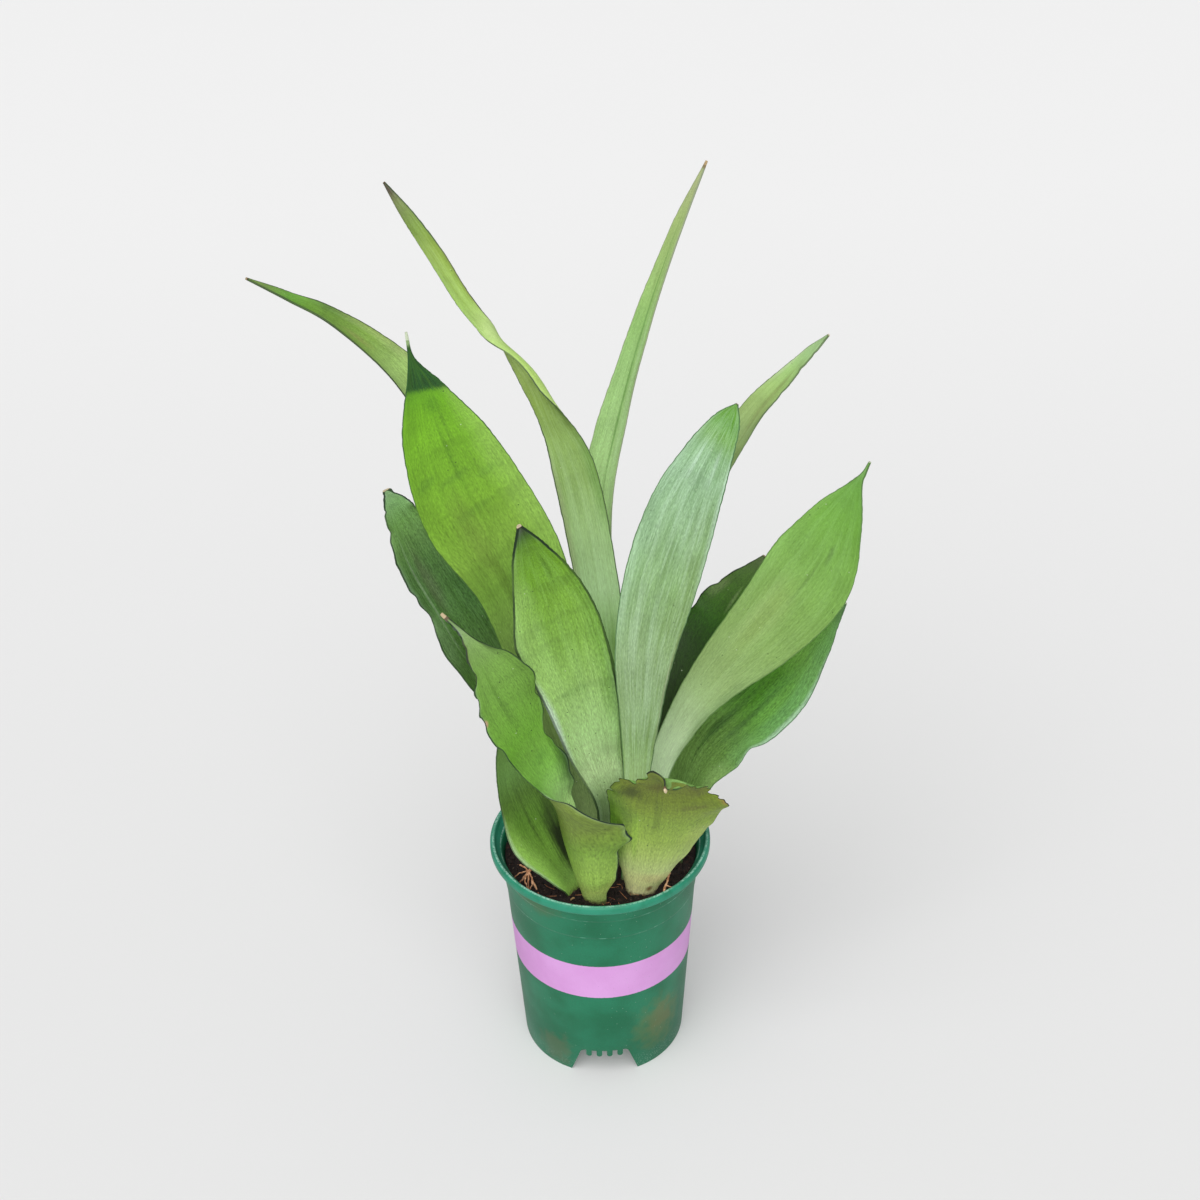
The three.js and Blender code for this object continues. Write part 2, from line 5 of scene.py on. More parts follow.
import bpy
import numpy as np
from mathutils import Matrix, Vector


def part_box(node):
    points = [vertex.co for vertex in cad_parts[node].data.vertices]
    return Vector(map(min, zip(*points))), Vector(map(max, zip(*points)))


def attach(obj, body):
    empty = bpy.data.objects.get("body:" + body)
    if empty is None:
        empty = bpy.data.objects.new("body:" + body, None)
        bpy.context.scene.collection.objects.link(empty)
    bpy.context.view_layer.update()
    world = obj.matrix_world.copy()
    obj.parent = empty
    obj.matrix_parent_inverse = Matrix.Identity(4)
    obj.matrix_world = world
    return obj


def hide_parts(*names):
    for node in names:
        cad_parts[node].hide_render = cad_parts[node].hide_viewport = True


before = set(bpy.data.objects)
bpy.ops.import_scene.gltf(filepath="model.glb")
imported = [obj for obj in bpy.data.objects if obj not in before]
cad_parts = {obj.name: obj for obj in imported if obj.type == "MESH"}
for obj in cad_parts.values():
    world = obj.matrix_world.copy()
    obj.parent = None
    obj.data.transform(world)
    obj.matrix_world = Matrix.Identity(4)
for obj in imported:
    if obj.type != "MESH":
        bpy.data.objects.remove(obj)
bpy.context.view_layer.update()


# The camera looks down on the plant from in front, a little over a metre away.
# It stands where the photograph was taken from, told from the pot's axis on the floor.
MM = 0.001
CAMERA_PLACE_MM = (2.9, -820.2, 837.3)
CAMERA_PITCH = np.radians(32.65)
CAMERA_ROLL = np.radians(-1.19)
CAMERA_LENS_MM = 54.0
CAMERA_SENSOR_MM = 36.0


def stance(right, up, back, place):
    """A matrix that stands an object at a place, with its x, y and z axes along three directions."""
    matrix = np.eye(4)
    matrix[:3] = np.stack([right, up, back, place], axis=1)
    return Matrix(matrix.tolist())


pot_low, pot_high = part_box("pot")
pot_axis = np.array([(pot_low.x + pot_high.x) / 2, (pot_low.y + pot_high.y) / 2, 0.0])
ahead = np.array([0.0, np.cos(CAMERA_PITCH), -np.sin(CAMERA_PITCH)])
level = np.array([1.0, 0.0, 0.0])
upward = np.array([0.0, np.sin(CAMERA_PITCH), np.cos(CAMERA_PITCH)])
camera_right = np.cos(CAMERA_ROLL) * level + np.sin(CAMERA_ROLL) * upward
camera_up = np.cos(CAMERA_ROLL) * upward - np.sin(CAMERA_ROLL) * level
camera_place = pot_axis + MM * np.array(CAMERA_PLACE_MM)
view = bpy.data.cameras.new("view")
view.lens = CAMERA_LENS_MM
view.sensor_width = CAMERA_SENSOR_MM
camera = bpy.data.objects.new("view", view)
camera.matrix_world = stance(camera_right, camera_up, -ahead, camera_place)
bpy.context.scene.collection.objects.link(camera)
bpy.context.scene.camera = camera


# The pot is one moulding of green plastic, 130 mm across its rolled lip and thin in the wall.
# Its raised floor has drain holes, and three windows with a comb of teeth open its foot.
# The lilac band is ink, and the marks are water stains, dust and scuffs on the plastic, with painted
# highlights on the lip and shoulders, painted shade inside it and a wall painted darker towards its
# foot.
POT_HEIGHT = 148.3
RIM_RADIUS = 65.0
BASE_RADIUS = 49.3
WALL_TAPER = 0.061
WALL = 1.3
SHOULDERS = (117.0, 131.0)
SHOULDER_STEP = 0.4
NECK = 141.6
THROAT = 138.6
FLOOR_UNDERSIDE = 21.0
FLOOR_THICKNESS = 1.6
FLOOR_TOP = FLOOR_UNDERSIDE + FLOOR_THICKNESS
POT_SIDES = 336
WALL_RINGS = (22.8, 25.0, 30.0, 40.0, 55.0, 70.0, 85.0, 100.0, 112.0)
BEND_ROUNDING = 0.6      # where the wall steps out, at the throat and under the lip
ROUNDING_SHARE = 0.45    # the most of an edge that one rounding takes up
ROUNDING_POINTS = 5
CUT_BEVEL = 0.2
CUT_BEVEL_ANGLE = 50.0
SMOOTH_ANGLE = 40.0
FOOT_WINDOWS = 3
WINDOW_TOP = 20.0
WINDOW_HALF_BOTTOM = 20.5
WINDOW_HALF_TOP = 14.0
WINDOW_CORNER = 2.5
WINDOW_CUT = 15.0        # how far the cutter reaches to either side of the wall
TEETH = 4
TOOTH_PITCH = 6.3
TOOTH_LENGTH = 5.0
TOOTH_WIDTH = 3.4
DRAIN_HOLE_RADIUS = 5.0
DRAIN_HOLE_SIDES = 40
DRAIN_SLOTS = 6
DRAIN_SLOT_SIZE = (13.0, 3.0)
DRAIN_SLOT_RING = 34.0
FLOOR_CUT = 5.0
BAND = (67.4, 93.8)
BAND_EDGE = 0.15


class Wire:
    """One output socket in a material. Arithmetic on wires and numbers adds Math nodes."""

    def __init__(self, tree, socket=None):
        self.tree = tree
        self.socket = socket

    def node(self, kind, settings=None, values=None, output=0):
        """Adds a node: its settings first, then the value or the wire of each socket."""
        made = self.tree.nodes.new("ShaderNode" + kind)
        for name, value in (settings or {}).items():
            if name != "stops":
                setattr(made, name, value)
                continue
            ramp = made.color_ramp
            while len(ramp.elements) < len(value):
                ramp.elements.new(1.0)
            for element, (position, color) in zip(ramp.elements, value):
                element.position = position
                element.color = color
        for name, value in (values or {}).items():
            if isinstance(value, Wire):
                self.tree.links.new(value.socket, made.inputs[name])
            else:
                made.inputs[name].default_value = value
        return Wire(self.tree, made.outputs[output])

    def __add__(self, other):
        return self.node("Math", {"operation": "ADD"}, {0: self, 1: other})

    def __sub__(self, other):
        return self.node("Math", {"operation": "SUBTRACT"}, {0: self, 1: other})

    def __rsub__(self, other):
        return self.node("Math", {"operation": "SUBTRACT"}, {0: other, 1: self})

    def __mul__(self, other):
        return self.node("Math", {"operation": "MULTIPLY"}, {0: self, 1: other})

    def __truediv__(self, other):
        return self.node("Math", {"operation": "DIVIDE"}, {0: self, 1: other})

    __radd__ = __add__
    __rmul__ = __mul__

    def apply(self, operation, other=0.0):
        """Any other Math operation, such as ABSOLUTE or ARCTAN2, on this wire."""
        return self.node("Math", {"operation": operation}, {0: self, 1: other})

    def step(self, low, high):
        """Rises smoothly from 0 where the wire is low to 1 where it is high."""
        ends = {"Value": self, "From Min": low, "From Max": high}
        return self.node("MapRange", {"interpolation_type": "SMOOTHSTEP"}, ends)

    def split(self):
        """The x, y and z of a vector wire."""
        parts = self.node("SeparateXYZ", values={"Vector": self}).socket.node.outputs
        return tuple(Wire(self.tree, part) for part in parts)

    def join(self, x, y, z):
        """A vector of three numbers or wires."""
        return self.node("CombineXYZ", values={"X": x, "Y": y, "Z": z})

    def noise(self, scale, detail=2.0, roughness=0.5):
        """Cloudy noise from 0 to 1, read at this vector."""
        sizes = {"Vector": self, "Scale": scale, "Detail": detail, "Roughness": roughness}
        return self.node("TexNoise", values=sizes)

    def cells(self, scale):
        """Distance to the nearest of many scattered points, and that point's random number."""
        found = self.node("TexVoronoi", values={"Vector": self, "Scale": scale}, output="Distance")
        chance = Wire(self.tree, found.socket.node.outputs["Color"]).split()[0]
        return found, chance

    def over(self, below, amount):
        """This colour laid over another by an amount."""
        return self.node("Mix", {"data_type": "RGBA"}, {0: amount, 6: below, 7: self}, output=2)

    def painted(self, tint, amount):
        """This colour with a flat one, given from 0 to 255, laid over it by an amount."""
        return self.ink(*tint).over(self, amount)

    def bright(self, factor):
        """This colour times a number."""
        return self.node("VectorMath", {"operation": "SCALE"}, {0: self, "Scale": factor})

    def ink(self, red, green, blue):
        """One flat colour, given from 0 to 255 as a screen shows it."""
        flat = self.node("RGB")
        flat.socket.default_value = screen(red, green, blue)
        return flat


def screen(red, green, blue):
    """A screen colour from 0 to 255 as the linear colour that a shader works with.

    With each part from 0 to 1, a dark one is part / 12.92, and any other one
    ((part + 0.055) / 1.055) to the power 2.4.
    """
    part = np.array([red, green, blue]) / 255.0
    linear = np.where(part <= 0.04045, part / 12.92, ((part + 0.055) / 1.055) ** 2.4)
    return (*linear.tolist(), 1.0)


def new_finish(name, **constants):
    """A material with its shader's fixed values, a wire to build nodes from, and the place.

    The place is a wire too: x, y and z on the piece in metres.
    """
    material = bpy.data.materials.new(name)
    material.use_nodes = True
    shader = material.node_tree.nodes["Principled BSDF"]
    for socket, value in constants.items():
        shader.inputs[socket.replace("_", " ")].default_value = value
    start = Wire(material.node_tree)
    return material, start, start.node("TexCoord", output="Object")


def dress(material, color, roughness, relief=None, depth=0.0001):
    """Links a colour, a roughness and a relief of that depth in metres to the shader."""
    tree = material.node_tree
    shader = tree.nodes["Principled BSDF"]
    tree.links.new(color.socket, shader.inputs["Base Color"])
    tree.links.new(roughness.socket, shader.inputs["Roughness"])
    if relief is not None:
        bump = relief.node("Bump", values={"Height": relief, "Distance": depth, "Strength": 1.0})
        tree.links.new(bump.socket, shader.inputs["Normal"])


def new_piece(name, points, faces, material, smooth_angle=SMOOTH_ANGLE):
    """A mesh from points in millimetres round the pot's axis, smooth but for edges over an angle."""
    mesh = bpy.data.meshes.new(name)
    points = MM * points.reshape(-1, 3) + pot_axis
    mesh.from_pydata(points.tolist(), [], [list(face) for face in faces])
    mesh.materials.append(material)
    piece = bpy.data.objects.new(name, mesh)
    bpy.context.scene.collection.objects.link(piece)
    soften(mesh, smooth_angle)
    return piece


def soften(mesh, smooth_angle):
    """Shades a mesh smooth and keeps its edges over an angle in degrees sharp."""
    mesh.shade_smooth()
    mesh.set_sharp_from_angle(angle=np.radians(smooth_angle))


def ring_faces(rows, sides):
    """Quads that join each row of a closed ring of points to the next row."""
    row, side = np.meshgrid(np.arange(rows - 1), np.arange(sides), indexing="ij")
    here = row * sides + side
    beside = row * sides + (side + 1) % sides
    return np.stack([here, beside, beside + sides, here + sides], axis=-1).reshape(-1, 4)


def circle(sides):
    """Cosines and sines of even steps once round."""
    turn = np.linspace(0, 2 * np.pi, sides, endpoint=False)
    return np.cos(turn), np.sin(turn)


def wall_radius(z):
    """Outside of the wall: base radius + taper * height, and a step out above each shoulder."""
    z = np.asarray(z, float)
    steps = sum((z > shoulder).astype(float) for shoulder in SHOULDERS)
    return BASE_RADIUS + WALL_TAPER * z + SHOULDER_STEP * steps


def rounded(corners):
    """A profile whose corners (radius, height, rounding) become short curves.

    Each corner is a quadratic curve between the points a rounding away along its two edges,
    steered by the corner itself.
    """
    corners = np.array(corners, float)
    bends, rounding = corners[:, :2], corners[:, 2:]
    ends = []
    for neighbour in (1, -1):
        edge = np.roll(bends, neighbour, axis=0) - bends
        length = np.linalg.norm(edge, axis=1, keepdims=True)
        ends.append(bends + edge / length * np.minimum(rounding, ROUNDING_SHARE * length))
    start, end = ends
    u = np.linspace(0, 1, ROUNDING_POINTS)[None, :, None]
    curve = (1 - u) ** 2 * start[:, None] + 2 * u * (1 - u) * bends[:, None] + u ** 2 * end[:, None]
    flat = curve.reshape(-1, 2)
    apart = np.linalg.norm(np.diff(flat, axis=0, prepend=flat[-1:] + 1), axis=1) > 1e-4
    return flat[apart]


def lathe_rings(radius, height, sides):
    """Rings of points: radius * cosine, radius * sine and the height, a row for each height."""
    cosine, sine = circle(sides)
    return np.stack([radius * cosine, radius * sine, height + 0 * radius * cosine], axis=-1)


def closed_rings(rings, start, end):
    """A closed body of rings, with a fan to a pole before the first and to one after the last."""
    rows, sides = rings.shape[:2]
    points = np.concatenate([rings.reshape(-1, 3), [(0, 0, start), (0, 0, end)]])
    pole = rows * sides
    side = np.arange(sides)
    beside = (side + 1) % sides
    last_row = (rows - 1) * sides
    start_fan = np.stack([np.full(sides, pole), beside, side], axis=1)
    end_fan = np.stack([np.full(sides, pole + 1), last_row + side, last_row + beside], axis=1)
    return points, [*ring_faces(rows, sides), *start_fan, *end_fan]


def prism(outline, low, high):
    """An outline in x and z carried along y from low to high, closed at both ends."""
    count = len(outline)
    near = np.insert(outline, 1, low, axis=1)
    far = np.insert(outline, 1, high, axis=1)
    ends = [list(range(count)), list(range(2 * count - 1, count - 1, -1))]
    return np.concatenate([near, far]), [*ring_faces(2, count)[:, ::-1], *ends]


def turned(points, angle):
    """Points turned round the z axis: x * cos - y * sin, x * sin + y * cos and the same z."""
    cosine, sine = np.cos(angle), np.sin(angle)
    return points @ np.array([[cosine, -sine, 0], [sine, cosine, 0], [0, 0, 1]]).T


def floor_cutter(outline, angle):
    """A prism stood upright in the raised floor and turned round the pot's axis.

    Its y and z change places, which turns it inside out, so its faces are turned over as well.
    """
    body, sides = prism(outline, -FLOOR_CUT, FLOOR_CUT)
    upright = body[:, [0, 2, 1]] + [0, 0, FLOOR_UNDERSIDE + FLOOR_THICKNESS / 2]
    return turned(upright, angle), [face[::-1] for face in sides]


def window_outline():
    """A trapezoid with rounded top corners and round-ended teeth that hang from its top."""
    slope = (WINDOW_HALF_BOTTOM - WINDOW_HALF_TOP) / WINDOW_TOP
    half = TOOTH_WIDTH / 2
    bow = np.linspace(0, np.pi, 9)
    corner = np.linspace(0, 1, 7)[:, None]
    right = np.array([WINDOW_HALF_TOP + WINDOW_CORNER * slope, WINDOW_TOP - WINDOW_CORNER])
    bend = np.array([WINDOW_HALF_TOP, WINDOW_TOP])
    top = np.array([WINDOW_HALF_TOP - WINDOW_CORNER, WINDOW_TOP])
    curve = (1 - corner) ** 2 * right + 2 * corner * (1 - corner) * bend + corner ** 2 * top
    mirror = (curve * [-1, 1])[::-1]
    lines = [[[-WINDOW_HALF_BOTTOM, -1.0], [WINDOW_HALF_BOTTOM, -1.0]], curve]
    for middle in (np.arange(TEETH)[::-1] - (TEETH - 1) / 2) * TOOTH_PITCH:
        end_z = WINDOW_TOP - TOOTH_LENGTH + half
        round_end = np.stack([middle + half * np.cos(bow), end_z - half * np.sin(bow)], axis=1)
        lines += [[[middle + half, WINDOW_TOP]], round_end, [[middle - half, WINDOW_TOP]]]
    return np.concatenate([*lines, mirror])


def cut_away(piece, cutters):
    """Cuts closed bodies out of a piece and keeps the result as the piece's own mesh."""
    points, faces, count = [], [], 0
    for body, sides in cutters:
        points.append(MM * body + pot_axis)
        faces += [[index + count for index in face] for face in sides]
        count += len(body)
    knife_mesh = bpy.data.meshes.new("knife")
    knife_mesh.from_pydata(np.concatenate(points).tolist(), [], faces)
    knife = bpy.data.objects.new("knife", knife_mesh)
    bpy.context.scene.collection.objects.link(knife)
    cut = piece.modifiers.new("cut", "BOOLEAN")
    cut.operation = "DIFFERENCE"
    cut.solver = "EXACT"
    cut.object = knife
    bevel = piece.modifiers.new("edge", "BEVEL")
    bevel.width = CUT_BEVEL * MM
    bevel.segments = 2
    bevel.angle_limit = np.radians(CUT_BEVEL_ANGLE)
    seen = piece.evaluated_get(bpy.context.evaluated_depsgraph_get())
    finished = bpy.data.meshes.new_from_object(seen)
    piece.modifiers.clear()
    piece.data = finished
    soften(finished, SMOOTH_ANGLE)
    bpy.data.objects.remove(knife)


def pot_finish():
    """Green plastic with its printed band, stains and scuffs, a worn lip with painted highlights and
    painted shade inside it, by height and angle.
    """
    material, start, place = new_finish("pot_plastic", IOR=1.45, Specular_IOR_Level=0.4)
    x, y, z = place.split()
    x = (x - float(pot_axis[0])) / MM
    y = (y - float(pot_axis[1])) / MM
    z = z / MM
    angle = y.apply("ARCTAN2", x)
    radius = (x * x + y * y).apply("SQRT")
    local = start.join(x, y, z)
    cloud = local.noise(0.035, 3.0)
    grain = local.noise(0.9, 3.0)

    green = start.ink(20, 116, 82).painted((6, 100, 66), cloud.step(0.35, 0.65))
    # The wall is painted darker towards its foot.
    green = green.painted((12, 90, 62), (1 - z.step(10, 60)) * 0.4)
    green = green.bright(0.8 + 0.3 * grain + 0.1 * local.noise(2.2, 1.0))

    def line_at(height, near, far):
        """1 at a height on the wall, fading to 0 between two distances above and below it."""
        return 1 - (z - height).apply("ABSOLUTE").step(near, far)

    # The lip is painted paler, partly as rubbed wear and partly as a painted highlight where it catches
    # the light, and thin pale lines along its top, under it and along the shoulders are rubbed wear and
    # painted highlights too.
    lip = z.step(NECK, NECK + 1.2)
    worn = lip * (0.55 + 0.45 * local.noise(0.12, 4.0).step(0.35, 0.6))
    green = green.painted((46, 148, 120), worn * 0.7)
    rubbed_and_highlit = z.step(POT_HEIGHT - 0.7, POT_HEIGHT - 0.2) + line_at(NECK + 1.0, 0.2, 0.6)
    rubbed_and_highlit = rubbed_and_highlit * grain.step(0.3, 0.6) * (0.3 + 0.7 * local.noise(0.1, 3.0).step(0.4, 0.55))
    green = green.painted((168, 216, 198), rubbed_and_highlit * 0.75)
    low_ridge, high_ridge = [line_at(shoulder + 0.7, 0.2, 0.55) for shoulder in SHOULDERS]
    ridges = low_ridge + high_ridge
    green = green.painted((110, 186, 158), ridges * local.noise(0.2, 3.0).step(0.52, 0.66) * 0.5)

    # The band is printed on the outside only, and its edges are a little ragged.
    ragged = (grain - 0.5) * 0.5
    low_edge, high_edge = [(z + ragged).step(edge - BAND_EDGE, edge + BAND_EDGE) for edge in BAND]
    printed = low_edge * (1 - high_edge)
    outside = (radius - WALL_TAPER * z).step(BASE_RADIUS - 0.8, BASE_RADIUS - 0.5)
    pinholes, chance = local.cells(0.8)
    ink_left = printed * outside * (1 - (1 - pinholes.step(0.06, 0.12)) * chance.step(0.8, 0.82))
    lilac = start.ink(214, 158, 218).painted((206, 146, 208), cloud.step(0.3, 0.7))
    green = lilac.bright(0.97 + 0.06 * grain).over(green, ink_left)

    # Stains: brown water marks low on the right and left, a pale crust inside the rim.
    def blot(turn, height, wide, tall):
        """1 at an angle and a height on the wall, fading over wide radians and tall mm."""
        across = (angle - turn) / wide
        along = (z - height) / tall
        far = (across * across + along * along).apply("SQRT")
        return 1 - (far + (local.noise(0.16, 4.0) - 0.5) * 1.4).step(0.3, 1.1)

    green = green.painted((92, 108, 60), blot(-0.86, 34.0, 0.42, 26.0) * 0.5 * (1 - ink_left))
    green = green.painted((118, 104, 60), blot(-0.84, 36.0, 0.22, 14.0) * 0.3)
    green = green.painted((92, 96, 66), blot(-2.2, 14.0, 0.3, 16.0) * 0.45)
    green = green.painted((84, 92, 48), blot(-2.3, 134.0, 0.35, 8.0) * 0.4)
    inside = 1 - outside
    crust = blot(0.1, 138.0, 0.5, 5.0) * grain.step(0.45, 0.6)
    green = green.painted((196, 200, 184), inside * crust)
    # Painted shade: the inside of the wall under the lip is darkened, where shade falls into the pot.
    painted_inner_shade = inside * z.step(120, 133) * (1 - z.step(136, 141))
    green = green.painted((22, 48, 36), painted_inner_shade * 0.7)

    # Dust and scuffs: short pale dashes round the foot and specks all over.
    dash = start.join(angle * 60.0, 0.0, z * 2.2).noise(1.0, 4.0)
    foot = 1 - z.step(4, 16)
    green = green.painted((190, 214, 204), foot * dash.step(0.58, 0.66) * 0.55)
    speck, lucky = local.cells(0.35)
    dust = (1 - speck.step(0.05, 0.1)) * lucky.step(0.6, 0.62)
    green = green.painted((176, 200, 186), dust * 0.5)

    shine = 0.36 + 0.14 * cloud + 0.1 * grain + 0.12 * ink_left
    dress(material, green, shine, grain + 1.5 * cloud, 0.00006)
    return material


lip_corners = [
    (RIM_RADIUS - 0.7, POT_HEIGHT - 5.7, 0.3),
    (RIM_RADIUS, POT_HEIGHT - 4.9, 0.5),
    (RIM_RADIUS, POT_HEIGHT - 1.6, 1.2),
    (RIM_RADIUS - 1.6, POT_HEIGHT, 1.0),
    (RIM_RADIUS - 2.8, POT_HEIGHT - 0.5, 0.8),
    (RIM_RADIUS - 3.8, POT_HEIGHT - 2.8, 1.0),
]
step_heights = [z for shoulder in SHOULDERS for z in (shoulder, shoulder + 1)]
corners = [
    (0.0, FLOOR_UNDERSIDE, 0.0),
    (wall_radius(FLOOR_UNDERSIDE) - WALL, FLOOR_UNDERSIDE, 0.4),
    (wall_radius(0) - WALL, 0.0, 0.25),
    (wall_radius(0), 0.0, 0.3),
    *[(wall_radius(z), z, 0.0) for z in WALL_RINGS],
    *[(wall_radius(z), z, BEND_ROUNDING) for z in step_heights],
    (wall_radius(NECK), NECK, 0.3),
    *lip_corners,
    (wall_radius(NECK) - WALL + 0.4, NECK - 0.4, BEND_ROUNDING),
    (wall_radius(THROAT) - WALL, THROAT, BEND_ROUNDING),
    *[(wall_radius(z) - WALL, z, BEND_ROUNDING) for z in step_heights[::-1]],
    *[(wall_radius(z) - WALL, z, 0.0) for z in WALL_RINGS[:0:-1]],
    (wall_radius(FLOOR_TOP) - WALL, FLOOR_TOP, 0.8),
    (0.0, FLOOR_TOP, 0.0),
]
profile = rounded(corners)
rings = lathe_rings(profile[1:-1, :1], profile[1:-1, 1:], POT_SIDES)
points, faces = closed_rings(rings, profile[0, 1], profile[-1, 1])
pot = new_piece("nursery_pot", points, faces, pot_finish())
cutters = []
for i in range(FOOT_WINDOWS):
    body, sides = prism(window_outline(), -BASE_RADIUS - WINDOW_CUT, -BASE_RADIUS + WINDOW_CUT)
    cutters.append((turned(body, i * 2 * np.pi / FOOT_WINDOWS), sides))
drain_hole = DRAIN_HOLE_RADIUS * np.stack(circle(DRAIN_HOLE_SIDES), axis=1)
cutters.append(floor_cutter(drain_hole, 0.0))
drain_slot = np.array([[-1, -1], [1, -1], [1, 1], [-1, 1]]) * DRAIN_SLOT_SIZE / 2
for i in range(DRAIN_SLOTS):
    angle = (i + 0.5) * 2 * np.pi / DRAIN_SLOTS
    cutters.append(floor_cutter(drain_slot + [DRAIN_SLOT_RING, 0], angle))
cut_away(pot, cutters)
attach(pot, "root")
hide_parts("pot")


# The potting mix fills the pot to just under the lip: moist dark peat with crumbs and coir.
# It is poured and watered in, so its top is uneven and it has settled away from the wall.
SOIL_TOP = 137.0
SOIL_RELIEF = 1.2
SOIL_TO_WALL = 0.75
SOIL_SIDES = 420
SOIL_RINGS = 110
SOIL_BOTTOM = FLOOR_TOP + 0.4
SOIL_SIDE_HEIGHTS = (131, 118, 90, 55, SOIL_BOTTOM)
CLOD_DROP = 0.8
SUNKEN_EDGE = (49.0, 7.0, 1.6)       # where it starts, how wide it is and how deep


def lumps(x, y, cell, seed):
    """Smooth random heights from -1 to 1: a seeded grid, with cells of a size.

    Between its four corners a cell blends by 3 * a squared - 2 * a cubed, both ways.
    """
    grid = np.random.default_rng(seed).uniform(-1, 1, (256, 256))
    u, v = np.asarray(x) / cell + 100, np.asarray(y) / cell + 100
    i, j = np.floor(u).astype(int), np.floor(v).astype(int)
    a, b = u - i, v - j
    a, b = a * a * (3 - 2 * a), b * b * (3 - 2 * b)
    low = grid[i % 256, j % 256] * (1 - a) + grid[(i + 1) % 256, j % 256] * a
    high = grid[i % 256, (j + 1) % 256] * (1 - a) + grid[(i + 1) % 256, (j + 1) % 256] * a
    return low * (1 - b) + high * b


def packed_top(x, y):
    """The packed soil's own top: sin(x / 9 + 1) * cos(y / 11) + half of sin((x + y) / 5)."""
    humps = np.sin(x / 9 + 1) * np.cos(y / 11) + 0.5 * np.sin((x + y) / 5)
    return SOIL_TOP + SOIL_RELIEF * humps


def soil_height(x, y):
    """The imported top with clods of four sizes, and an edge by the wall that sinks by a square."""
    clods = 0.9 * lumps(x, y, 7, 1) + 0.8 * lumps(x, y, 3.4, 2)
    clods = clods + 0.5 * np.abs(lumps(x, y, 1.7, 3)) + 0.3 * lumps(x, y, 0.9, 4)
    start, width, depth = SUNKEN_EDGE
    sunken = np.clip((np.hypot(x, y) - start) / width, 0, 1) ** 2
    return packed_top(x, y) + clods - CLOD_DROP - depth * sunken


def soil_finish():
    """Dark moist peat: near black in the hollows, with brown and reddish crumbs."""
    material, start, place = new_finish("potting_soil", IOR=1.4)
    grain = place.noise(900.0, 4.0, 0.65)
    patch = place.noise(160.0, 3.0)
    color = start.ink(18, 12, 11).painted((52, 35, 28), grain.step(0.4, 0.75))
    color = color.painted((74, 44, 32), patch.step(0.58, 0.72) * 0.5)
    color = color.painted((128, 108, 92), place.noise(520.0, 3.0).step(0.66, 0.72) * 0.5)
    dress(material, color, 0.72 + 0.25 * grain, grain + patch, 0.0006)
    return material


soil_material = soil_finish()
soil_edge = wall_radius(SOIL_TOP) - WALL - SOIL_TO_WALL
top = lathe_rings(np.linspace(0, 1, SOIL_RINGS + 1)[1:, None] * soil_edge, 0.0, SOIL_SIDES)
top[..., 2] = soil_height(top[..., 0], top[..., 1])
side_z = np.array(SOIL_SIDE_HEIGHTS)[:, None]
side = lathe_rings(wall_radius(side_z) - WALL - SOIL_TO_WALL, side_z, SOIL_SIDES)
points, faces = closed_rings(np.concatenate([top, side]), soil_height(0.0, 0.0), SOIL_BOTTOM)
faces = [face[::-1] for face in faces]
soil = new_piece("potting_soil", points, faces, soil_material, 180.0)
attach(soil, "root")
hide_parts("soil")


# Loose crumbs of peat and bark lie on the soil, as they fell when the pot was filled.
# Each is a rough little lump with twenty sides, stretched and dented in its own way.
CRUMBS = 2600
CRUMB_RADIUS = (0.35, 1.7)
CRUMB_TO_EDGE = 2.2
CRUMB_LIFT = 0.35
SMALL_SHARE = 3.5        # the higher, the more of the crumbs are small
chance = np.random.default_rng(7)


def scatter(count, reach):
    """Places spread evenly over a disc: reach * the root of a random number, in any direction."""
    spread = np.sqrt(chance.uniform(0, 1, count)) * reach
    bearing = chance.uniform(0, 2 * np.pi, count)
    return spread * np.cos(bearing), spread * np.sin(bearing)


golden = (1 + 5 ** 0.5) / 2
corner_a = [(-1, golden, 0), (1, golden, 0), (-1, -golden, 0), (1, -golden, 0)]
corner_b = [(0, -1, golden), (0, 1, golden), (0, -1, -golden), (0, 1, -golden)]
corner_c = [(golden, 0, -1), (golden, 0, 1), (-golden, 0, -1), (-golden, 0, 1)]
lump = np.array(corner_a + corner_b + corner_c) / np.hypot(1, golden)
lump_faces = np.array([
    (0, 11, 5), (0, 5, 1), (0, 1, 7), (0, 7, 10), (0, 10, 11),
    (1, 5, 9), (5, 11, 4), (11, 10, 2), (10, 7, 6), (7, 1, 8),
    (3, 9, 4), (3, 4, 2), (3, 2, 6), (3, 6, 8), (3, 8, 9),
    (4, 9, 5), (2, 4, 11), (6, 2, 10), (8, 6, 7), (9, 8, 1),
])
x, y = scatter(CRUMBS, soil_edge - CRUMB_TO_EDGE)
small, large = CRUMB_RADIUS
radius = small + (large - small) * chance.uniform(0, 1, CRUMBS) ** SMALL_SHARE
shape = lump * chance.uniform(0.6, 1.25, (CRUMBS, 12, 1)) * chance.uniform(0.6, 1.3, (CRUMBS, 1, 3))
middle = np.stack([x, y, soil_height(x, y) + CRUMB_LIFT * radius], axis=-1)[:, None]
points = middle + shape * radius[:, None, None]
faces = (lump_faces + 12 * np.arange(CRUMBS)[:, None, None]).reshape(-1, 3)
crumbs = new_piece("soil_crumbs", points, faces, soil_material, 30.0)
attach(crumbs, "root")


# Coir fibres, reddish and curled, lie among the crumbs.
# Each is a thin tapered strand, 3 to 11 mm long.
FIBRES = 150
FIBRE_POINTS = 9
FIBRE_RADIUS = 0.16
FIBRE_TO_EDGE = 6.0


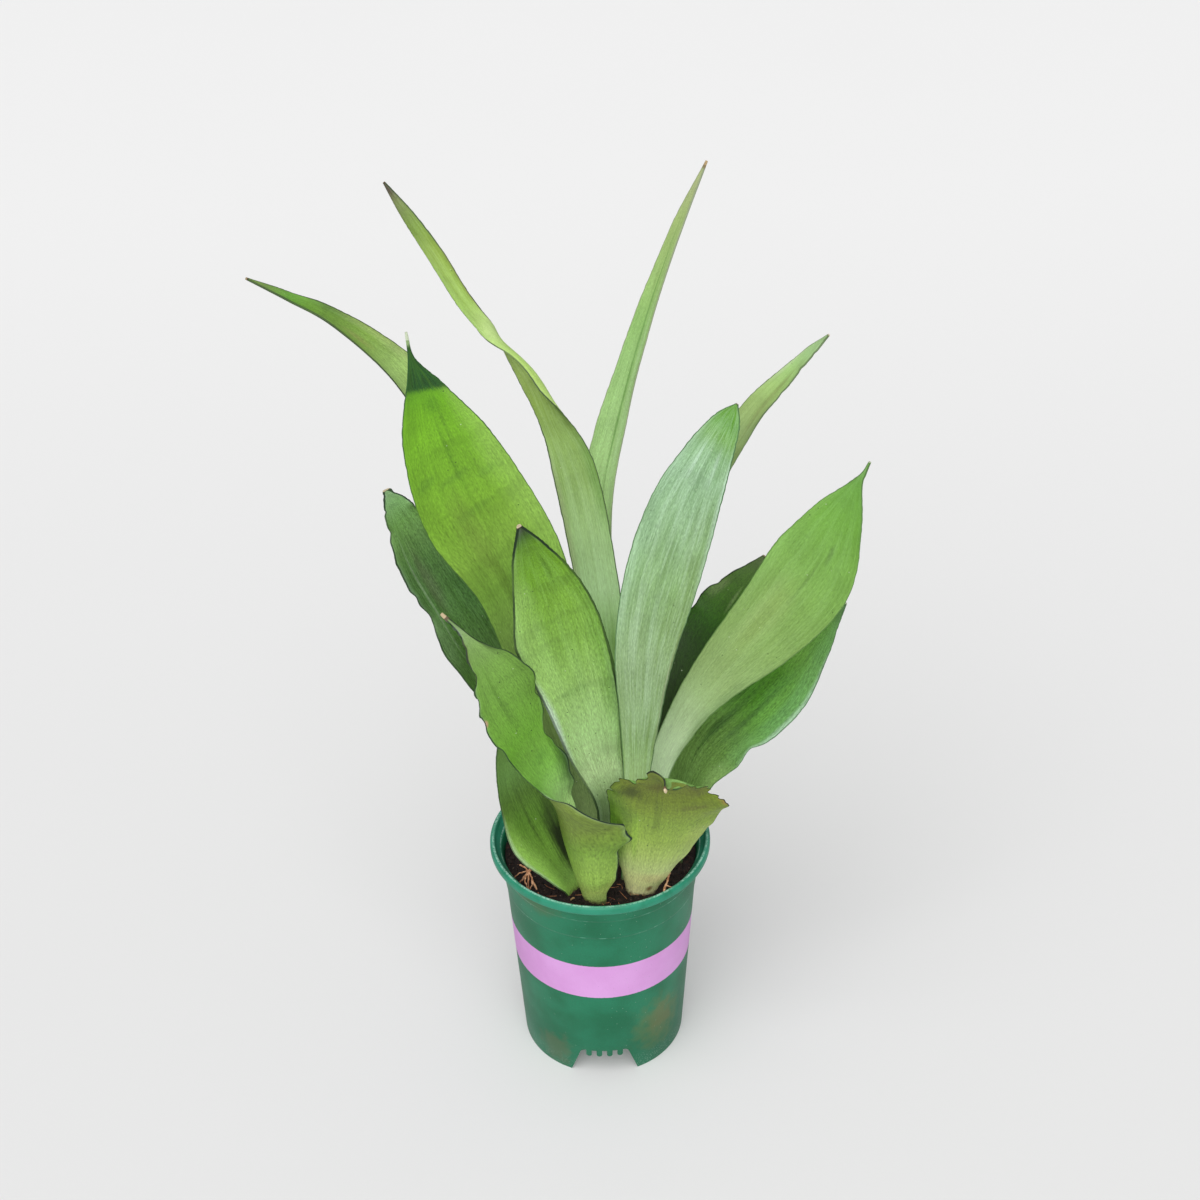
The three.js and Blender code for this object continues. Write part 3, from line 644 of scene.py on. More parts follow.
def strands(routes, radius, sides):
    """Closed tubes along many routes at once, thin at both ends.

    A route's points get a tangent from their neighbours. The ring round each point is the
    cosine times one direction square to the tangent and the sine times the other.
    """
    along = np.gradient(routes, axis=1)
    along /= np.linalg.norm(along, axis=2, keepdims=True)
    aside = np.cross(along, [0.2, 0.1, 1.0])
    aside /= np.linalg.norm(aside, axis=2, keepdims=True)
    above = np.cross(aside, along)
    cosine, sine = circle(sides)
    round_it = cosine[:, None] * aside[:, :, None] + sine[:, None] * above[:, :, None]
    count, steps = routes.shape[:2]
    rings = routes[:, :, None] + round_it * radius[:, :, None, None]
    quads = ring_faces(steps, sides)[:, ::-1]
    offset = steps * sides * np.arange(count)[:, None]
    body = (quads[None] + offset[:, :, None]).reshape(-1, 4)
    foot = np.arange(sides) + offset
    head = (steps - 1) * sides + np.arange(sides)[::-1] + offset
    return rings.reshape(-1, 3), [*body, *foot, *head]


def coir_finish():
    """Dry reddish-brown fibre, paler where it is frayed."""
    material, start, place = new_finish("coir")
    tint = place.noise(240.0, 2.0)
    color = start.ink(168, 112, 74).painted((116, 62, 38), tint.step(0.4, 0.65))
    dress(material, color, 0.7 + 0.2 * tint, place.noise(2600.0), 0.0001)
    return material


u = np.linspace(-1, 1, FIBRE_POINTS)
middle_x, middle_y = scatter(FIBRES, soil_edge - FIBRE_TO_EDGE)
heading = chance.uniform(0, 2 * np.pi, (FIBRES, 1))
half_length = chance.uniform(1.5, 5.5, (FIBRES, 1))
bend = chance.uniform(-0.9, 0.9, (FIBRES, 1))
x = middle_x[:, None] + half_length * u * np.cos(heading + bend * u)
y = middle_y[:, None] + half_length * u * np.sin(heading + bend * u)
z = soil_height(x, y).max(axis=1, keepdims=True) + 0.4 * (1 - u ** 2) - 0.3 + 0 * x
thick = FIBRE_RADIUS * (1 - 0.7 * u ** 2) * chance.uniform(0.7, 1.5, (FIBRES, 1))
points, faces = strands(np.stack([x, y, z], axis=-1), thick, 4)
fibres = new_piece("coir_fibres", points, faces, coir_finish(), 60.0)
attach(fibres, "root")


# The rootstock is a short knobbly stem under the soil, which every leaf grew from.
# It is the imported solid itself, with the tan, ringed skin of such a stem.
def rootstock_finish():
    """Tan corky skin with darker rings, by height, and fine cracks."""
    material, start, place = new_finish("rootstock")
    rings = (place.split()[2] * 900.0 + place.noise(60.0) * 5.0).apply("SINE")
    grain = place.noise(420.0, 4.0)
    color = start.ink(196, 150, 100).painted((150, 104, 62), grain.step(0.35, 0.65))
    color = color.painted((96, 62, 38), rings.step(0.7, 1.0) * 0.5)
    dress(material, color, 0.75 + 0.2 * grain, grain + 0.5 * rings, 0.0004)
    return material


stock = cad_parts["rhizome"]
stock.material_slots[0].material = rootstock_finish()


# The blades: fourteen stiff, fleshy leaves that grow from the rootstock and stand in the soil.
# Each is a channelled blade, 2 to 4.6 mm thick and thinner at its margins, with a waxy skin,
# fine lengthwise veins and a thin dark margin. These functions grow one from its stations.
MARGIN_THICKNESS = 0.9
BLADE_THICKNESS = 2.0
BASE_THICKNESS = 4.6
EDGE_SLOPE = 0.5         # how fast a narrow blade gets thicker with its half-width
FACE_LIFT = 0.5          # how far the inner face looks upwards as well
LEAST_HALF_WIDTH = 0.35
BLADE_COLUMNS = 40
BLADE_STEP = 1.3
TANGENT_STEP = 1e-3
TEAR_FADE = 0.25         # stations over which a tear begins and ends
TEAR_RISE = 0.6
WORN_DEPTH = 0.16
NICK_POWER = 8           # the higher, the closer to the margin tears and wear stay
MARGIN_POWER = 14        # the same for the rounding of the margin
LEFT, RIGHT = -1.0, 1.0


def along_stations(stations, t):
    """A Catmull-Rom curve through all columns, with the end rows mirrored outwards.

    From row b to row c, with a before and d after them, it is half of 2b + (c - a) * u
    + (2a - 5b + 4c - d) * u squared + (3b - a - 3c + d) * u cubed, and u runs from 0 to 1.
    """
    rows = np.array(stations, float)
    rows = np.concatenate([[2 * rows[0] - rows[1]], rows, [2 * rows[-1] - rows[-2]]])
    last = len(rows) - 3
    k = np.clip(np.floor(t * last).astype(int), 0, last - 1)
    u = (t * last - k)[:, None]
    a, b, c, d = rows[k], rows[k + 1], rows[k + 2], rows[k + 3]
    bend = 2 * a - 5 * b + 4 * c - d
    return 0.5 * (2 * b + (c - a) * u + bend * u ** 2 + (3 * b - a - 3 * c + d) * u ** 3)


def unit(vectors):
    """Vectors divided by their lengths."""
    return vectors / np.linalg.norm(vectors, axis=-1, keepdims=True)


def blade_surface(stations, ripple, waves, tears):
    """Points of a blade's inner and outer skin, and where each lies on the blade.

    A station, told from foot to tip, is x, y and z of the middle, the half-width left and right,
    the direction that the inner face looks in, and how far the left and right margins curl
    inwards, in millimetres and degrees. Each half is an arc of its width that turns by its curl:
    out = width * sin(curl * v) / curl and rise = width * (1 - cos(curl * v)) / curl. A wave
    (side, station, reach, lift, push) adds a bell to the rise and the width near the margin, a
    ripple (length, height) a small sine, and a tear (side, low, high, depth, size) ragged notches
    between two stations, which rise a little where they cut in. The skins lie half a thickness to
    either side, and the thickness ends in a rounded margin.
    """
    length = np.linalg.norm(np.diff(np.array(stations, float)[:, :3], axis=0), axis=1).sum()
    t = np.linspace(0, 1, int(length / BLADE_STEP))
    x, y, z, left, right, face, curl_left, curl_right = along_stations(stations, t).T
    ahead = along_stations(stations, np.clip(t + TANGENT_STEP, 0, 1))[:, :3]
    behind = along_stations(stations, np.clip(t - TANGENT_STEP, 0, 1))[:, :3]
    along = unit(ahead - behind)
    face = np.radians(face)
    facing = np.stack([np.cos(face), np.sin(face), np.full_like(face, FACE_LIFT)], axis=1)
    across = unit(np.cross(along, facing))
    inward = np.cross(across, along)

    even = np.linspace(-1, 1, BLADE_COLUMNS + 1)
    v = 0.45 * even + 0.55 * np.sin(even * np.pi / 2)        # closer together at the margins
    side = np.sign(v)
    half = np.maximum(np.where(v < 0, left[:, None], right[:, None]), LEAST_HALF_WIDTH)
    curl = np.radians(np.maximum(np.where(v < 0, curl_left[:, None], curl_right[:, None]), 1))
    turn = curl * np.abs(v)
    out = half * np.sin(turn) / curl
    rise = half * (1 - np.cos(turn)) / curl
    station = (t * (len(stations) - 1))[:, None]
    for wave_side, place, reach, lift, push in waves:
        bell = np.exp(-(((station - place) / reach) ** 2)) * np.abs(v) ** 3 * (side == wave_side)
        rise = rise + lift * bell
        out = out + push * bell
    travel = (t * length)[:, None]
    for tear_side, low, high, depth, size in tears:
        begun = np.clip((station - low) / TEAR_FADE, 0, 1)
        window = begun * np.clip((high - station) / TEAR_FADE, 0, 1)
        ragged = np.minimum(lumps(travel, 9.0 * tear_side + low, size, 11), 0.35) - 0.2
        notches = depth * ragged * window * np.abs(v) ** NICK_POWER * (side == tear_side)
        out = out + notches
        rise = rise + TEAR_RISE * notches
    worn = lumps(travel, 3.0 * side, 3.1, 12) + 0.6 * lumps(travel, 5.0 * side, 1.4, 13)
    out = out + WORN_DEPTH * worn * np.abs(v) ** NICK_POWER * np.clip(half / 6, 0, 1)
    wave_length, height = ripple
    phase = travel * 2 * np.pi / wave_length
    ripples = np.sin(phase + 2.1 * side) + 0.6 * np.sin(1.54 * phase + side)
    rise = rise + height * ripples * np.abs(v) ** 4 * np.clip(half / 12, 0, 1)

    narrow = np.minimum(left, right)[:, None]
    full = BLADE_THICKNESS + (BASE_THICKNESS - BLADE_THICKNESS) * (1 - t[:, None]) ** 3
    middle = np.minimum(full, MARGIN_THICKNESS + EDGE_SLOPE * np.maximum(narrow, 0.0))
    thickness = MARGIN_THICKNESS + (middle - MARGIN_THICKNESS) * (1 - v ** 2)
    rounding = np.sqrt(np.clip(1.02 - np.abs(v) ** MARGIN_POWER, 0.02, 1))
    thickness = thickness * rounding
    outwards = across[:, None] * (side * out)[..., None]
    centre = np.stack([x, y, z], axis=1)[:, None] + outwards + inward[:, None] * rise[..., None]
    lean = across[:, None] * (side * np.sin(turn))[..., None]
    normal = inward[:, None] * np.cos(turn)[..., None] - lean
    skin = normal * (thickness / 2)[..., None]
    rim = (1 - np.abs(v)) * half
    place = np.stack([v + 0 * half, t[:, None] + 0 * half, rim], axis=-1)
    return centre + skin, centre - skin, place, length


def blade_faces(rows, columns):
    """Quads of a closed blade: a ring of inner then outer columns for each row, and two ends."""
    sides = 2 * columns
    ring = ring_faces(rows, sides)
    inner = np.arange(columns - 1)
    outer = sides - 1 - inner
    foot = np.stack([inner, outer, outer - 1, inner + 1], axis=1)
    tip = np.stack([inner + 1, outer - 1, outer, inner], axis=1) + (rows - 1) * sides
    return [*ring, *foot, *tip]


def ramp(stops, last):
    """Colour stops (station, red, green, blue) as places from 0 to 1 with shader colours."""
    return [(min(max(place / last, 0), 1), screen(*color)) for place, *color in stops]


def blade_finish(name, last, length, inner, outer, marks, veins, bands, texture, margin,
                 margin_width, tip, bloom=0.0, glow=0.0, specks=0.5, cap=None):
    """Waxy green skin that follows the blade: v across, t along, and millimetres to the margin.

    The colour runs through stops along the blade, other ones on the outer face. Marks are soft
    oval patches (v, station, their reaches, colour, strength, 1 on the inner face or 0 on the
    outer); some of them are painted shade or painted highlights. Veins and threads change its
    brightness, and so does the fine grain, by the texture's share. Broken bands cross it. Over it
    lie the silvery bloom of the wax, specks, a margin line with a painted highlight inside it, a
    dark cap (station, slant, colour) and a dried tip (millimetres, colour, colour of the ring below it).
    """
    material, start, place = new_finish(name, IOR=1.4, Specular_IOR_Level=0.48)
    blade = start.node("Attribute", {"attribute_name": "blade"}, output="Vector")
    face = start.node("Attribute", {"attribute_name": "inner_face"}, output="Fac")
    v, t, rim = blade.split()
    travel = t * length
    veined = start.join(v * 17.0, travel / 30.0, face * 9.0).noise(1.0, 4.0, 0.68)
    thread = start.join(v * 34.0, travel / 2.2, face * 7.0).noise(1.0, 1.0)
    broad = start.join(v * 3.4, travel / 80.0, face * 5.0 + 3.0).noise(1.0, 3.0)
    cloud = start.join(v * 1.6, travel / 18.0, face * 3.0 + 1.0).noise(1.0, 4.0)
    grain = place.noise(1500.0, 2.0, 0.6)
    weave = start.join(v * 40.0, travel / 2.4, face * 5.0).noise(1.0, 1.0)

    color = t.node("ValToRGB", {"stops": ramp(inner, last)}, {0: t})
    back = t.node("ValToRGB", {"stops": ramp(outer, last)}, {0: t})
    color = color.over(back, face)
    for mark_v, station, wide, long, tint, strength, on_inner in marks:
        across = (v - mark_v) / wide
        reach = (t - station / last) * last / long
        far = (across * across + reach * reach).apply("SQRT") + (cloud - 0.5) * 0.6
        far = far + (veined - 0.5) * 0.5
        amount = (1 - far.step(0.2, 1.1)) * strength
        amount = amount * (face if on_inner else 1 - face)
        color = color.painted(tint, amount)
    silver = start.ink(196, 218, 204)
    color = silver.over(color, (0.5 * broad + 0.5 * veined).step(0.4, 0.62) * bloom)

    # Faint bands cross the blade in broken dashes, and patches drift along it.
    ragged = travel / 13.0 + veined * 0.4 + cloud * 1.2
    band = start.join(ragged, v * 0.4, 4.0).noise(1.0, 1.0).step(0.54, 0.68) * thread.step(0.3, 0.6)
    tone = 1.02 + veins * 6.2 * (veined - 0.5) + veins * 5.6 * (thread - 0.5)
    tone = tone + texture * (0.3 * (grain - 0.5) + 0.5 * (weave - 0.5) + 0.02)
    tone = tone + 0.34 * (broad - 0.5) + 0.36 * (cloud - 0.5) - bands * band
    pores = 1 - (0.5 * grain + 0.5 * weave).step(0.3, 0.4)
    color = color.bright(tone * (1 - texture * 0.08 * pores))

    # Specks: few small dark freckles, and a few pale pin marks.
    far, lucky = place.cells(260.0)
    freckle = (1 - far.step(0.05, 0.15)) * (1 - lucky.step(0.1, 0.12)) * specks
    color = color.painted((48, 66, 32), freckle * 0.7)
    pin = (1 - far.step(0.04, 0.12)) * lucky.step(0.9, 0.92) * specks
    color = color.painted((214, 226, 196), pin * 0.5)

    # The margin is a thin dark line, with a painted bluish highlight inside it where the thick, waxy
    # margin catches the light.
    width = margin_width * (0.5 + cloud)
    inside = rim / width
    painted_edge_highlight = (1 - inside.step(1.2, 3.4)) * broad.step(0.44, 0.58)
    color = color.painted((196, 218, 206), painted_edge_highlight * glow)
    line = (1 - inside.step(0.75, 1.35)) * (0.66 + 0.34 * broad.step(0.38, 0.56))
    color = color.painted(margin, line)

    if cap:
        where, slant, shade = cap
        edge = t + (veined - 0.5) * 0.03 + (thread - 0.5) * 0.02 + v * (slant / last)
        amount = edge.step((where - 0.08) / last, (where + 0.08) / last)
        tone = 0.5 + 1.0 * cloud + 3.0 * (veined - 0.5) + 2.0 * (weave - 0.5)
        shaded = start.ink(*shade).bright(tone)
        color = shaded.over(color, amount * (0.78 + 0.2 * broad.step(0.4, 0.6)))
    dry, pale, ringed = tip
    dry = dry / length
    ring = t.step(1 - dry * 1.9, 1 - dry * 1.2)
    color = color.painted(ringed, ring * 0.95)
    color = color.painted(pale, t.step(1 - dry, 1 - dry * 0.8))

    # Soil clings to the foot.
    height = place.split()[2] / MM
    ragged = height + (place.noise(700.0, 3.0) - 0.5) * 7.0
    dirt = 1 - ragged.step(SOIL_TOP - 0.5, SOIL_TOP + 4.0)
    color = color.painted((60, 42, 32), dirt * 0.8)
    wax = 0.4 + 0.2 * veined + 0.12 * cloud
    dress(material, color, wax, veined + 0.4 * thread + 0.2 * grain, 0.00024)
    return material


def note(piece, name, kind, key, values):
    """Notes a value at each point of a piece, for its material to read."""
    held = piece.data.attributes.new(name, kind, "POINT")
    held.data.foreach_set(key, values.reshape(-1).astype(np.float32))


def blade(name, slot, stations, ripple, waves=(), tears=(), **finish):
    """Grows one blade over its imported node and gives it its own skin."""
    front, behind, place, length = blade_surface(stations, ripple, waves, tears)
    rows, columns = front.shape[:2]
    points = np.concatenate([front, behind[:, ::-1]], axis=1)
    material = blade_finish(name + "_skin", len(stations) - 1, float(length), **finish)
    piece = new_piece(name + "_blade", points, blade_faces(rows, columns), material, 70.0)
    note(piece, "blade", "FLOAT_VECTOR", "vector", np.concatenate([place, place[:, ::-1]], axis=1))
    inner_face = np.concatenate([np.ones((rows, columns)), np.zeros((rows, columns))], axis=1)
    note(piece, "inner_face", "FLOAT", "value", inner_face)
    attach(piece, "root")
    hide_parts(name)


# Tall back blade: long, narrow and folded along its middle, leaning away to the upper right.
# Its skin is light green, paler and warmer towards the drawn-out tip.
blade(
    "leaf_top", "leaf_bright",
    stations=[
        (9, 23, 108, 8, 8, -105, 40, 40),
        (9, 23, 150, 9, 9, -110, 40, 40),
        (6, 29, 219, 12, 11, -120, 38, 38),
        (3, 36, 280, 15, 12, -130, 38, 38),
        (5, 42, 350, 14.5, 14.5, -140, 38, 38),
        (13, 51, 388, 12, 11, -140, 38, 38),
        (24, 64, 425, 9, 8, -140, 36, 36),
        (36, 78, 458, 6.5, 6, -140, 34, 34),
        (50, 92, 491, 4, 4, -140, 30, 30),
        (64, 104, 519, 0.6, 0.6, -140, 20, 20),
    ],
    inner=[
        (1, 150, 182, 120), (4, 180, 216, 146), (5, 148, 184, 116), (5.7, 138, 176, 104),
        (6.5, 133, 174, 95), (7.2, 143, 176, 100), (8, 147, 170, 100), (8.6, 160, 172, 118),
    ],
    outer=[(1, 140, 172, 112), (5, 138, 176, 104), (8, 142, 172, 98)],
    marks=[
        # The dark line near the middle is painted shade in the fold, and the lighter right half is
        # painted light.
        (0.12, 6.0, 0.12, 2.8, (96, 140, 62), 0.75, 1), (0.6, 5.5, 0.3, 2.4, (172, 206, 146), 0.45, 1),
    ],
    ripple=(70.0, 0.3), veins=0.12, bands=0.05, texture=1.1, bloom=0.05, margin=(140, 152, 118),
    margin_width=0.4, tip=(4.0, (176, 150, 110), (132, 116, 82)),
)


# Twisted blade: a long narrow leaf that rolls over near its top, so that its back shows there.
# Grey-green below the twist, fresh green with a reddish margin above it, and a dried tip.
blade(
    "leaf_twisted", "leaf_silver",
    stations=[
        (12, 8, 108, 8, 8, -90, 40, 40),
        (11, 8, 150, 9, 9, -90, 36, 36),
        (6, 15, 238, 13, 13, -85, 28, 28),
        (1, 20, 306, 12, 13, -80, 24, 24),
        (-8, 23, 372, 12.8, 12, -80, 22, 22),
        (-20, 29, 404, 6.8, 11.5, -105, 22, 55),
        (-29, 35, 427, 9, 10.5, -140, 24, 115),
        (-47, 43, 447, 3.8, 6, -195, 24, 70),
        (-63, 49, 465, 4, 5.5, -252, 22, 22),
        (-79, 57, 490, 4.5, 5.5, -260, 22, 22),
        (-93, 64, 510, 3, 4, -260, 20, 20),
        (-103, 70, 523, 0.6, 0.6, -260, 20, 20),
    ],
    inner=[
        (1, 150, 190, 120), (2.5, 124, 164, 88), (3, 160, 193, 136), (3.5, 152, 185, 120),
        (4, 134, 166, 92), (4.6, 127, 158, 80), (5.4, 124, 152, 66), (6.2, 136, 160, 74),
    ],
    outer=[
        (5.5, 170, 200, 104), (6.5, 172, 206, 108), (7.2, 172, 198, 122), (8, 150, 184, 82),
        (9, 136, 164, 64), (9.6, 120, 150, 56), (10.3, 112, 124, 66), (10.7, 78, 66, 46),
    ],
    marks=[
        (1.0, 4.0, 0.6, 0.8, (96, 140, 52), 0.6, 1), (-1.0, 3.6, 0.35, 1.2, (128, 126, 96), 0.4, 1),
        (-1.0, 9.0, 0.5, 1.5, (104, 128, 34), 0.5, 0), (0.8, 8.0, 0.4, 1.6, (178, 218, 114), 0.45, 0),
        (-1.0, 7.6, 0.25, 2.0, (168, 140, 92), 0.4, 0), (0.9, 5.4, 0.3, 0.7, (72, 96, 40), 0.5, 1),
    ],
    ripple=(60.0, 0.5), veins=0.1, bands=0.08, texture=0.6, bloom=0.08, margin=(62, 82, 52),
    margin_width=0.5, specks=0.7, tip=(1.2, (112, 96, 74), (58, 46, 34)),
)


# Far left blade: a long channelled leaf that arches out to the left and ends in a fine point.
# Fresh green with a darker upper edge near its tip.
blade(
    "leaf_far_left", "leaf_silver",
    stations=[
        (-7, 16, 108, 8, 8, -70, 40, 40),
        (-7, 14, 150, 9, 9, -65, 40, 40),
        (-14, 16, 210, 11, 11, -60, 36, 36),
        (-34, 22, 282, 13, 13, -50, 34, 34),
        (-56, 29, 347, 13, 14, -40, 32, 32),
        (-78, 36, 392, 12, 16, -30, 32, 32),
        (-103, 46, 428, 8.5, 15, -25, 32, 32),
        (-134, 54, 453, 3, 9, -25, 32, 32),
        (-157, 60, 464, 1.2, 5.5, -25, 28, 28),
        (-179, 66, 474, 0.6, 0.6, -25, 20, 20),
    ],
    inner=[
        (1, 150, 180, 116), (5.5, 150, 182, 104), (6, 147, 180, 98), (6.5, 121, 156, 64),
        (7, 102, 138, 50), (7.6, 96, 142, 38), (8, 92, 146, 42), (8.6, 109, 140, 64),
    ],
    outer=[(1, 138, 168, 100), (5, 136, 168, 84), (7, 92, 124, 44), (8.5, 84, 118, 44)],
    marks=[
        (0.9, 7.2, 0.5, 0.6, (62, 96, 20), 0.5, 1), (0.0, 6.6, 0.3, 0.3, (128, 124, 70), 0.4, 1),
        (1.0, 6.4, 0.5, 0.9, (158, 168, 110), 0.35, 1),
    ],
    ripple=(70.0, 0.4), veins=0.16, bands=0.16, texture=1.3, bloom=0.03, margin=(52, 70, 38),
    margin_width=0.55, tip=(2.0, (150, 130, 96), (58, 50, 32)),
)


# Upper right blade: narrow, folded along its middle, and bowed out to the right behind the rest.
# Its margin is nicked and dark near the tip.
blade(
    "leaf_upper_right", "leaf_bright",
    stations=[
        (27, 19, 108, 7, 7, -110, 40, 40),
        (26, 20, 150, 8, 8, -115, 40, 40),
        (29, 32, 208, 10, 10, -132, 36, 36),
        (41, 51, 281, 13, 12, -144, 34, 34),
        (59, 48, 339, 13, 13, -145, 34, 34),
        (75, 58, 368, 12, 12, -150, 34, 34),
        (92, 67, 391, 10, 9.5, -150, 34, 34),
        (108, 74, 407, 6.5, 7.5, -150, 30, 30),
        (120, 80, 418, 3.8, 4.8, -150, 26, 26),
        (131, 84, 427, 0.6, 0.6, -150, 20, 20),
    ],
    waves=[(RIGHT, 7.4, 0.12, 0, -1.2), (RIGHT, 6.6, 0.1, 0, -0.8), (RIGHT, 8.1, 0.08, 0, -0.7)],
    inner=[
        (1, 140, 172, 108), (5, 124, 150, 84), (5.5, 134, 158, 96), (6, 144, 170, 98),
        (6.6, 148, 180, 100), (7.2, 150, 187, 108), (8, 152, 188, 124), (8.8, 150, 182, 126),
    ],
    outer=[(1, 132, 160, 96), (5, 128, 154, 84), (8, 130, 164, 92)],
    marks=[
        (0.3, 6.4, 0.25, 1.4, (124, 132, 76), 0.4, 1), (-0.9, 7.4, 0.4, 1.2, (186, 206, 158), 0.5, 1),
        (1.0, 7.6, 0.3, 0.9, (108, 122, 66), 0.4, 1),
    ],
    ripple=(60.0, 0.4), veins=0.08, bands=0.08, texture=0.4, bloom=0.05, margin=(92, 112, 72),
    margin_width=0.5, tip=(2.0, (196, 190, 160), (96, 104, 74)),
)


# Dark right blade: an older, deep green leaf that stands in the shade of the ones before it.
# Its upper margin is torn and frayed a little near the tip.
blade(
    "leaf_dark_right", "leaf_dark",
    stations=[
        (29, 2, 108, 7, 7, -115, 40, 40),
        (29, 2, 150, 8, 8, -118, 38, 38),
        (38, 7, 198, 12, 12, -125, 34, 34),
        (51, 18, 236, 17, 13, -130, 30, 30),
        (63, 31, 259, 20, 18, -132, 26, 26),
        (77, 40, 280, 18, 15, -134, 24, 24),
        (89, 48, 295, 8.5, 9, -134, 24, 24),
        (97, 54, 305, 0.8, 0.8, -134, 20, 20),
    ],
    waves=[(LEFT, 4.6, 0.12, 0.6, -1.4), (LEFT, 5.3, 0.1, 0, -1.2), (RIGHT, 5.6, 0.15, 0, -1.0)],
    inner=[
        (1, 24, 42, 8), (3, 30, 54, 8), (4, 32, 62, 8), (4.5, 42, 82, 12), (5.2, 56, 94, 18),
        (6, 66, 98, 34), (6.7, 76, 96, 52),
    ],
    outer=[(1, 36, 58, 22), (6, 56, 86, 36)],
    marks=[
        (-0.8, 5.3, 0.3, 0.5, (124, 142, 92), 0.4, 1), (0.3, 5.0, 0.35, 0.35, (20, 38, 10), 0.5, 1),
        (0.0, 5.2, 0.1, 0.5, (132, 150, 104), 0.3, 1), (1.0, 3.4, 0.4, 1.4, (60, 44, 22), 0.4, 1),
    ],
    ripple=(34.0, 0.7), veins=0.2, bands=0.15, texture=2.0, margin=(26, 38, 20), margin_width=0.7,
    specks=1.2, tip=(1.5, (150, 136, 104), (48, 44, 28)),
)


# Back left blade: a broad dark leaf with a blunt, dried tip and a scalloped, nicked left margin.
# A paler band follows that margin, and its middle is greyish.
blade(
    "leaf_back_left", "leaf_dark",
    stations=[
        (-18, -2, 108, 7, 7, -60, 36, 36),
        (-19, -2, 150, 9, 9, -60, 34, 34),
        (-31, 1, 190, 12, 14, -60, 30, 30),
        (-48, 6, 231, 13, 19, -60, 26, 26),
        (-68, 11, 272, 15, 22, -60, 24, 24),
        (-83, 15, 300, 14, 22, -60, 22, 22),
        (-96, 19, 326, 12.5, 20, -60, 20, 20),
        (-105, 21, 350, 8, 14, -60, 20, 20),
        (-109, 22, 362, 4, 9, -60, 20, 20),
        (-111, 22, 370, 1, 1, -60, 20, 20),
    ],
    waves=[
        (LEFT, 3.2, 0.3, 0, -3), (LEFT, 4.3, 0.3, 0, 2), (LEFT, 5, 0.25, 0, -3),
        (LEFT, 8.6, 0.12, 0, -1.2), (LEFT, 7.7, 0.1, 0, -1.0), (LEFT, 6.9, 0.12, 0, -1.6),
        (LEFT, 6.3, 0.14, 0, 1.2), (LEFT, 5.5, 0.1, 0, -1.4), (RIGHT, 8.9, 0.2, 0, 2.0),
    ],
    inner=[
        (1, 58, 90, 32), (4, 60, 95, 33), (4.5, 67, 106, 40), (5, 72, 112, 50), (5.5, 76, 114, 56),
        (6, 77, 114, 56), (6.5, 98, 137, 71), (7, 102, 144, 72), (8, 128, 172, 108),
        (8.7, 136, 174, 122),
    ],
    outer=[(1, 66, 96, 44), (8, 92, 126, 66)],
    marks=[
        (1.0, 5.0, 0.8, 1.0, (46, 92, 26), 0.55, 1), (-0.9, 4.6, 0.5, 0.9, (108, 138, 92), 0.6, 1),
        (-0.05, 5.6, 0.3, 1.0, (88, 96, 70), 0.5, 1), (-0.45, 5.4, 0.07, 1.6, (140, 160, 128), 0.4, 1),
        (-0.95, 6.8, 0.35, 1.0, (120, 160, 92), 0.5, 1),
    ],
    ripple=(30.0, 0.9), veins=0.24, bands=0.16, texture=1.3, bloom=0.03, margin=(36, 58, 36),
    margin_width=0.7, glow=0.1, specks=1.0, tip=(1.2, (206, 190, 158), (104, 92, 68)),
)


# Big left blade: the broadest leaf, fresh green, with a sharply bounded dark cap at its top and
# a dried awl of a tip. Broken bands cross it where it paused in growing.
blade(
    "leaf_big_left", "leaf_bright",
    stations=[
        (-5, -3, 108, 8, 8, -75, 40, 40),
        (-6, -2, 150, 10, 10, -75, 36, 36),
        (-15, 0, 202, 14, 15, -70, 28, 28),
        (-29, 2, 268, 21, 25, -66, 22, 22),
        (-43, 4, 325, 25, 30, -66, 18, 18),
        (-62, 2, 372, 32, 30, -66, 16, 16),
        (-76, 1, 410, 25, 23, -66, 16, 16),
        (-83, 0, 437, 13.5, 11.5, -66, 18, 18),
        (-88.5, 0, 456, 2.2, 2.2, -66, 20, 20),
        (-90, 0, 471, 0.6, 0.6, -66, 20, 20),
    ],
    inner=[
        (1, 134, 158, 100), (2, 112, 136, 80), (3.4, 124, 157, 76), (4, 118, 158, 62),
        (4.5, 126, 166, 62), (5, 121, 168, 50), (5.6, 112, 163, 40), (6.2, 113, 170, 35),
        (6.7, 105, 163, 28), (7.2, 92, 150, 27),
    ],
    outer=[(1, 116, 144, 76), (5, 112, 154, 56), (7, 106, 154, 48)],
    marks=[
        # The pale green patch along the right margin is a painted highlight.
        (1.0, 5.2, 0.6, 2.6, (150, 194, 88), 0.65, 1), (0.0, 5.8, 0.07, 1.1, (78, 124, 26), 0.4, 1),
        (-0.1, 5.45, 0.5, 0.08, (86, 126, 42), 0.4, 1), (-0.65, 5.6, 0.3, 0.1, (86, 130, 42), 0.38, 1),
        (-0.3, 4.7, 0.3, 0.8, (112, 136, 58), 0.4, 1), (-0.25, 4.1, 0.14, 0.6, (94, 124, 42), 0.4, 1),
        (0.55, 5.3, 0.35, 0.08, (98, 142, 54), 0.35, 1), (0.1, 6.75, 0.4, 0.25, (84, 138, 28), 0.5, 1),
        (0.2, 6.25, 0.08, 0.4, (84, 130, 30), 0.4, 1), (0.0, 4.95, 0.6, 0.07, (98, 140, 50), 0.3, 1),
    ],
    ripple=(90.0, 0.6), veins=0.13, bands=0.16, texture=0.9, margin=(60, 96, 44), margin_width=0.5,
    specks=1.2, cap=(7.12, 0.16, (32, 78, 30)), tip=(13.0, (208, 220, 190), (150, 180, 122)),
)
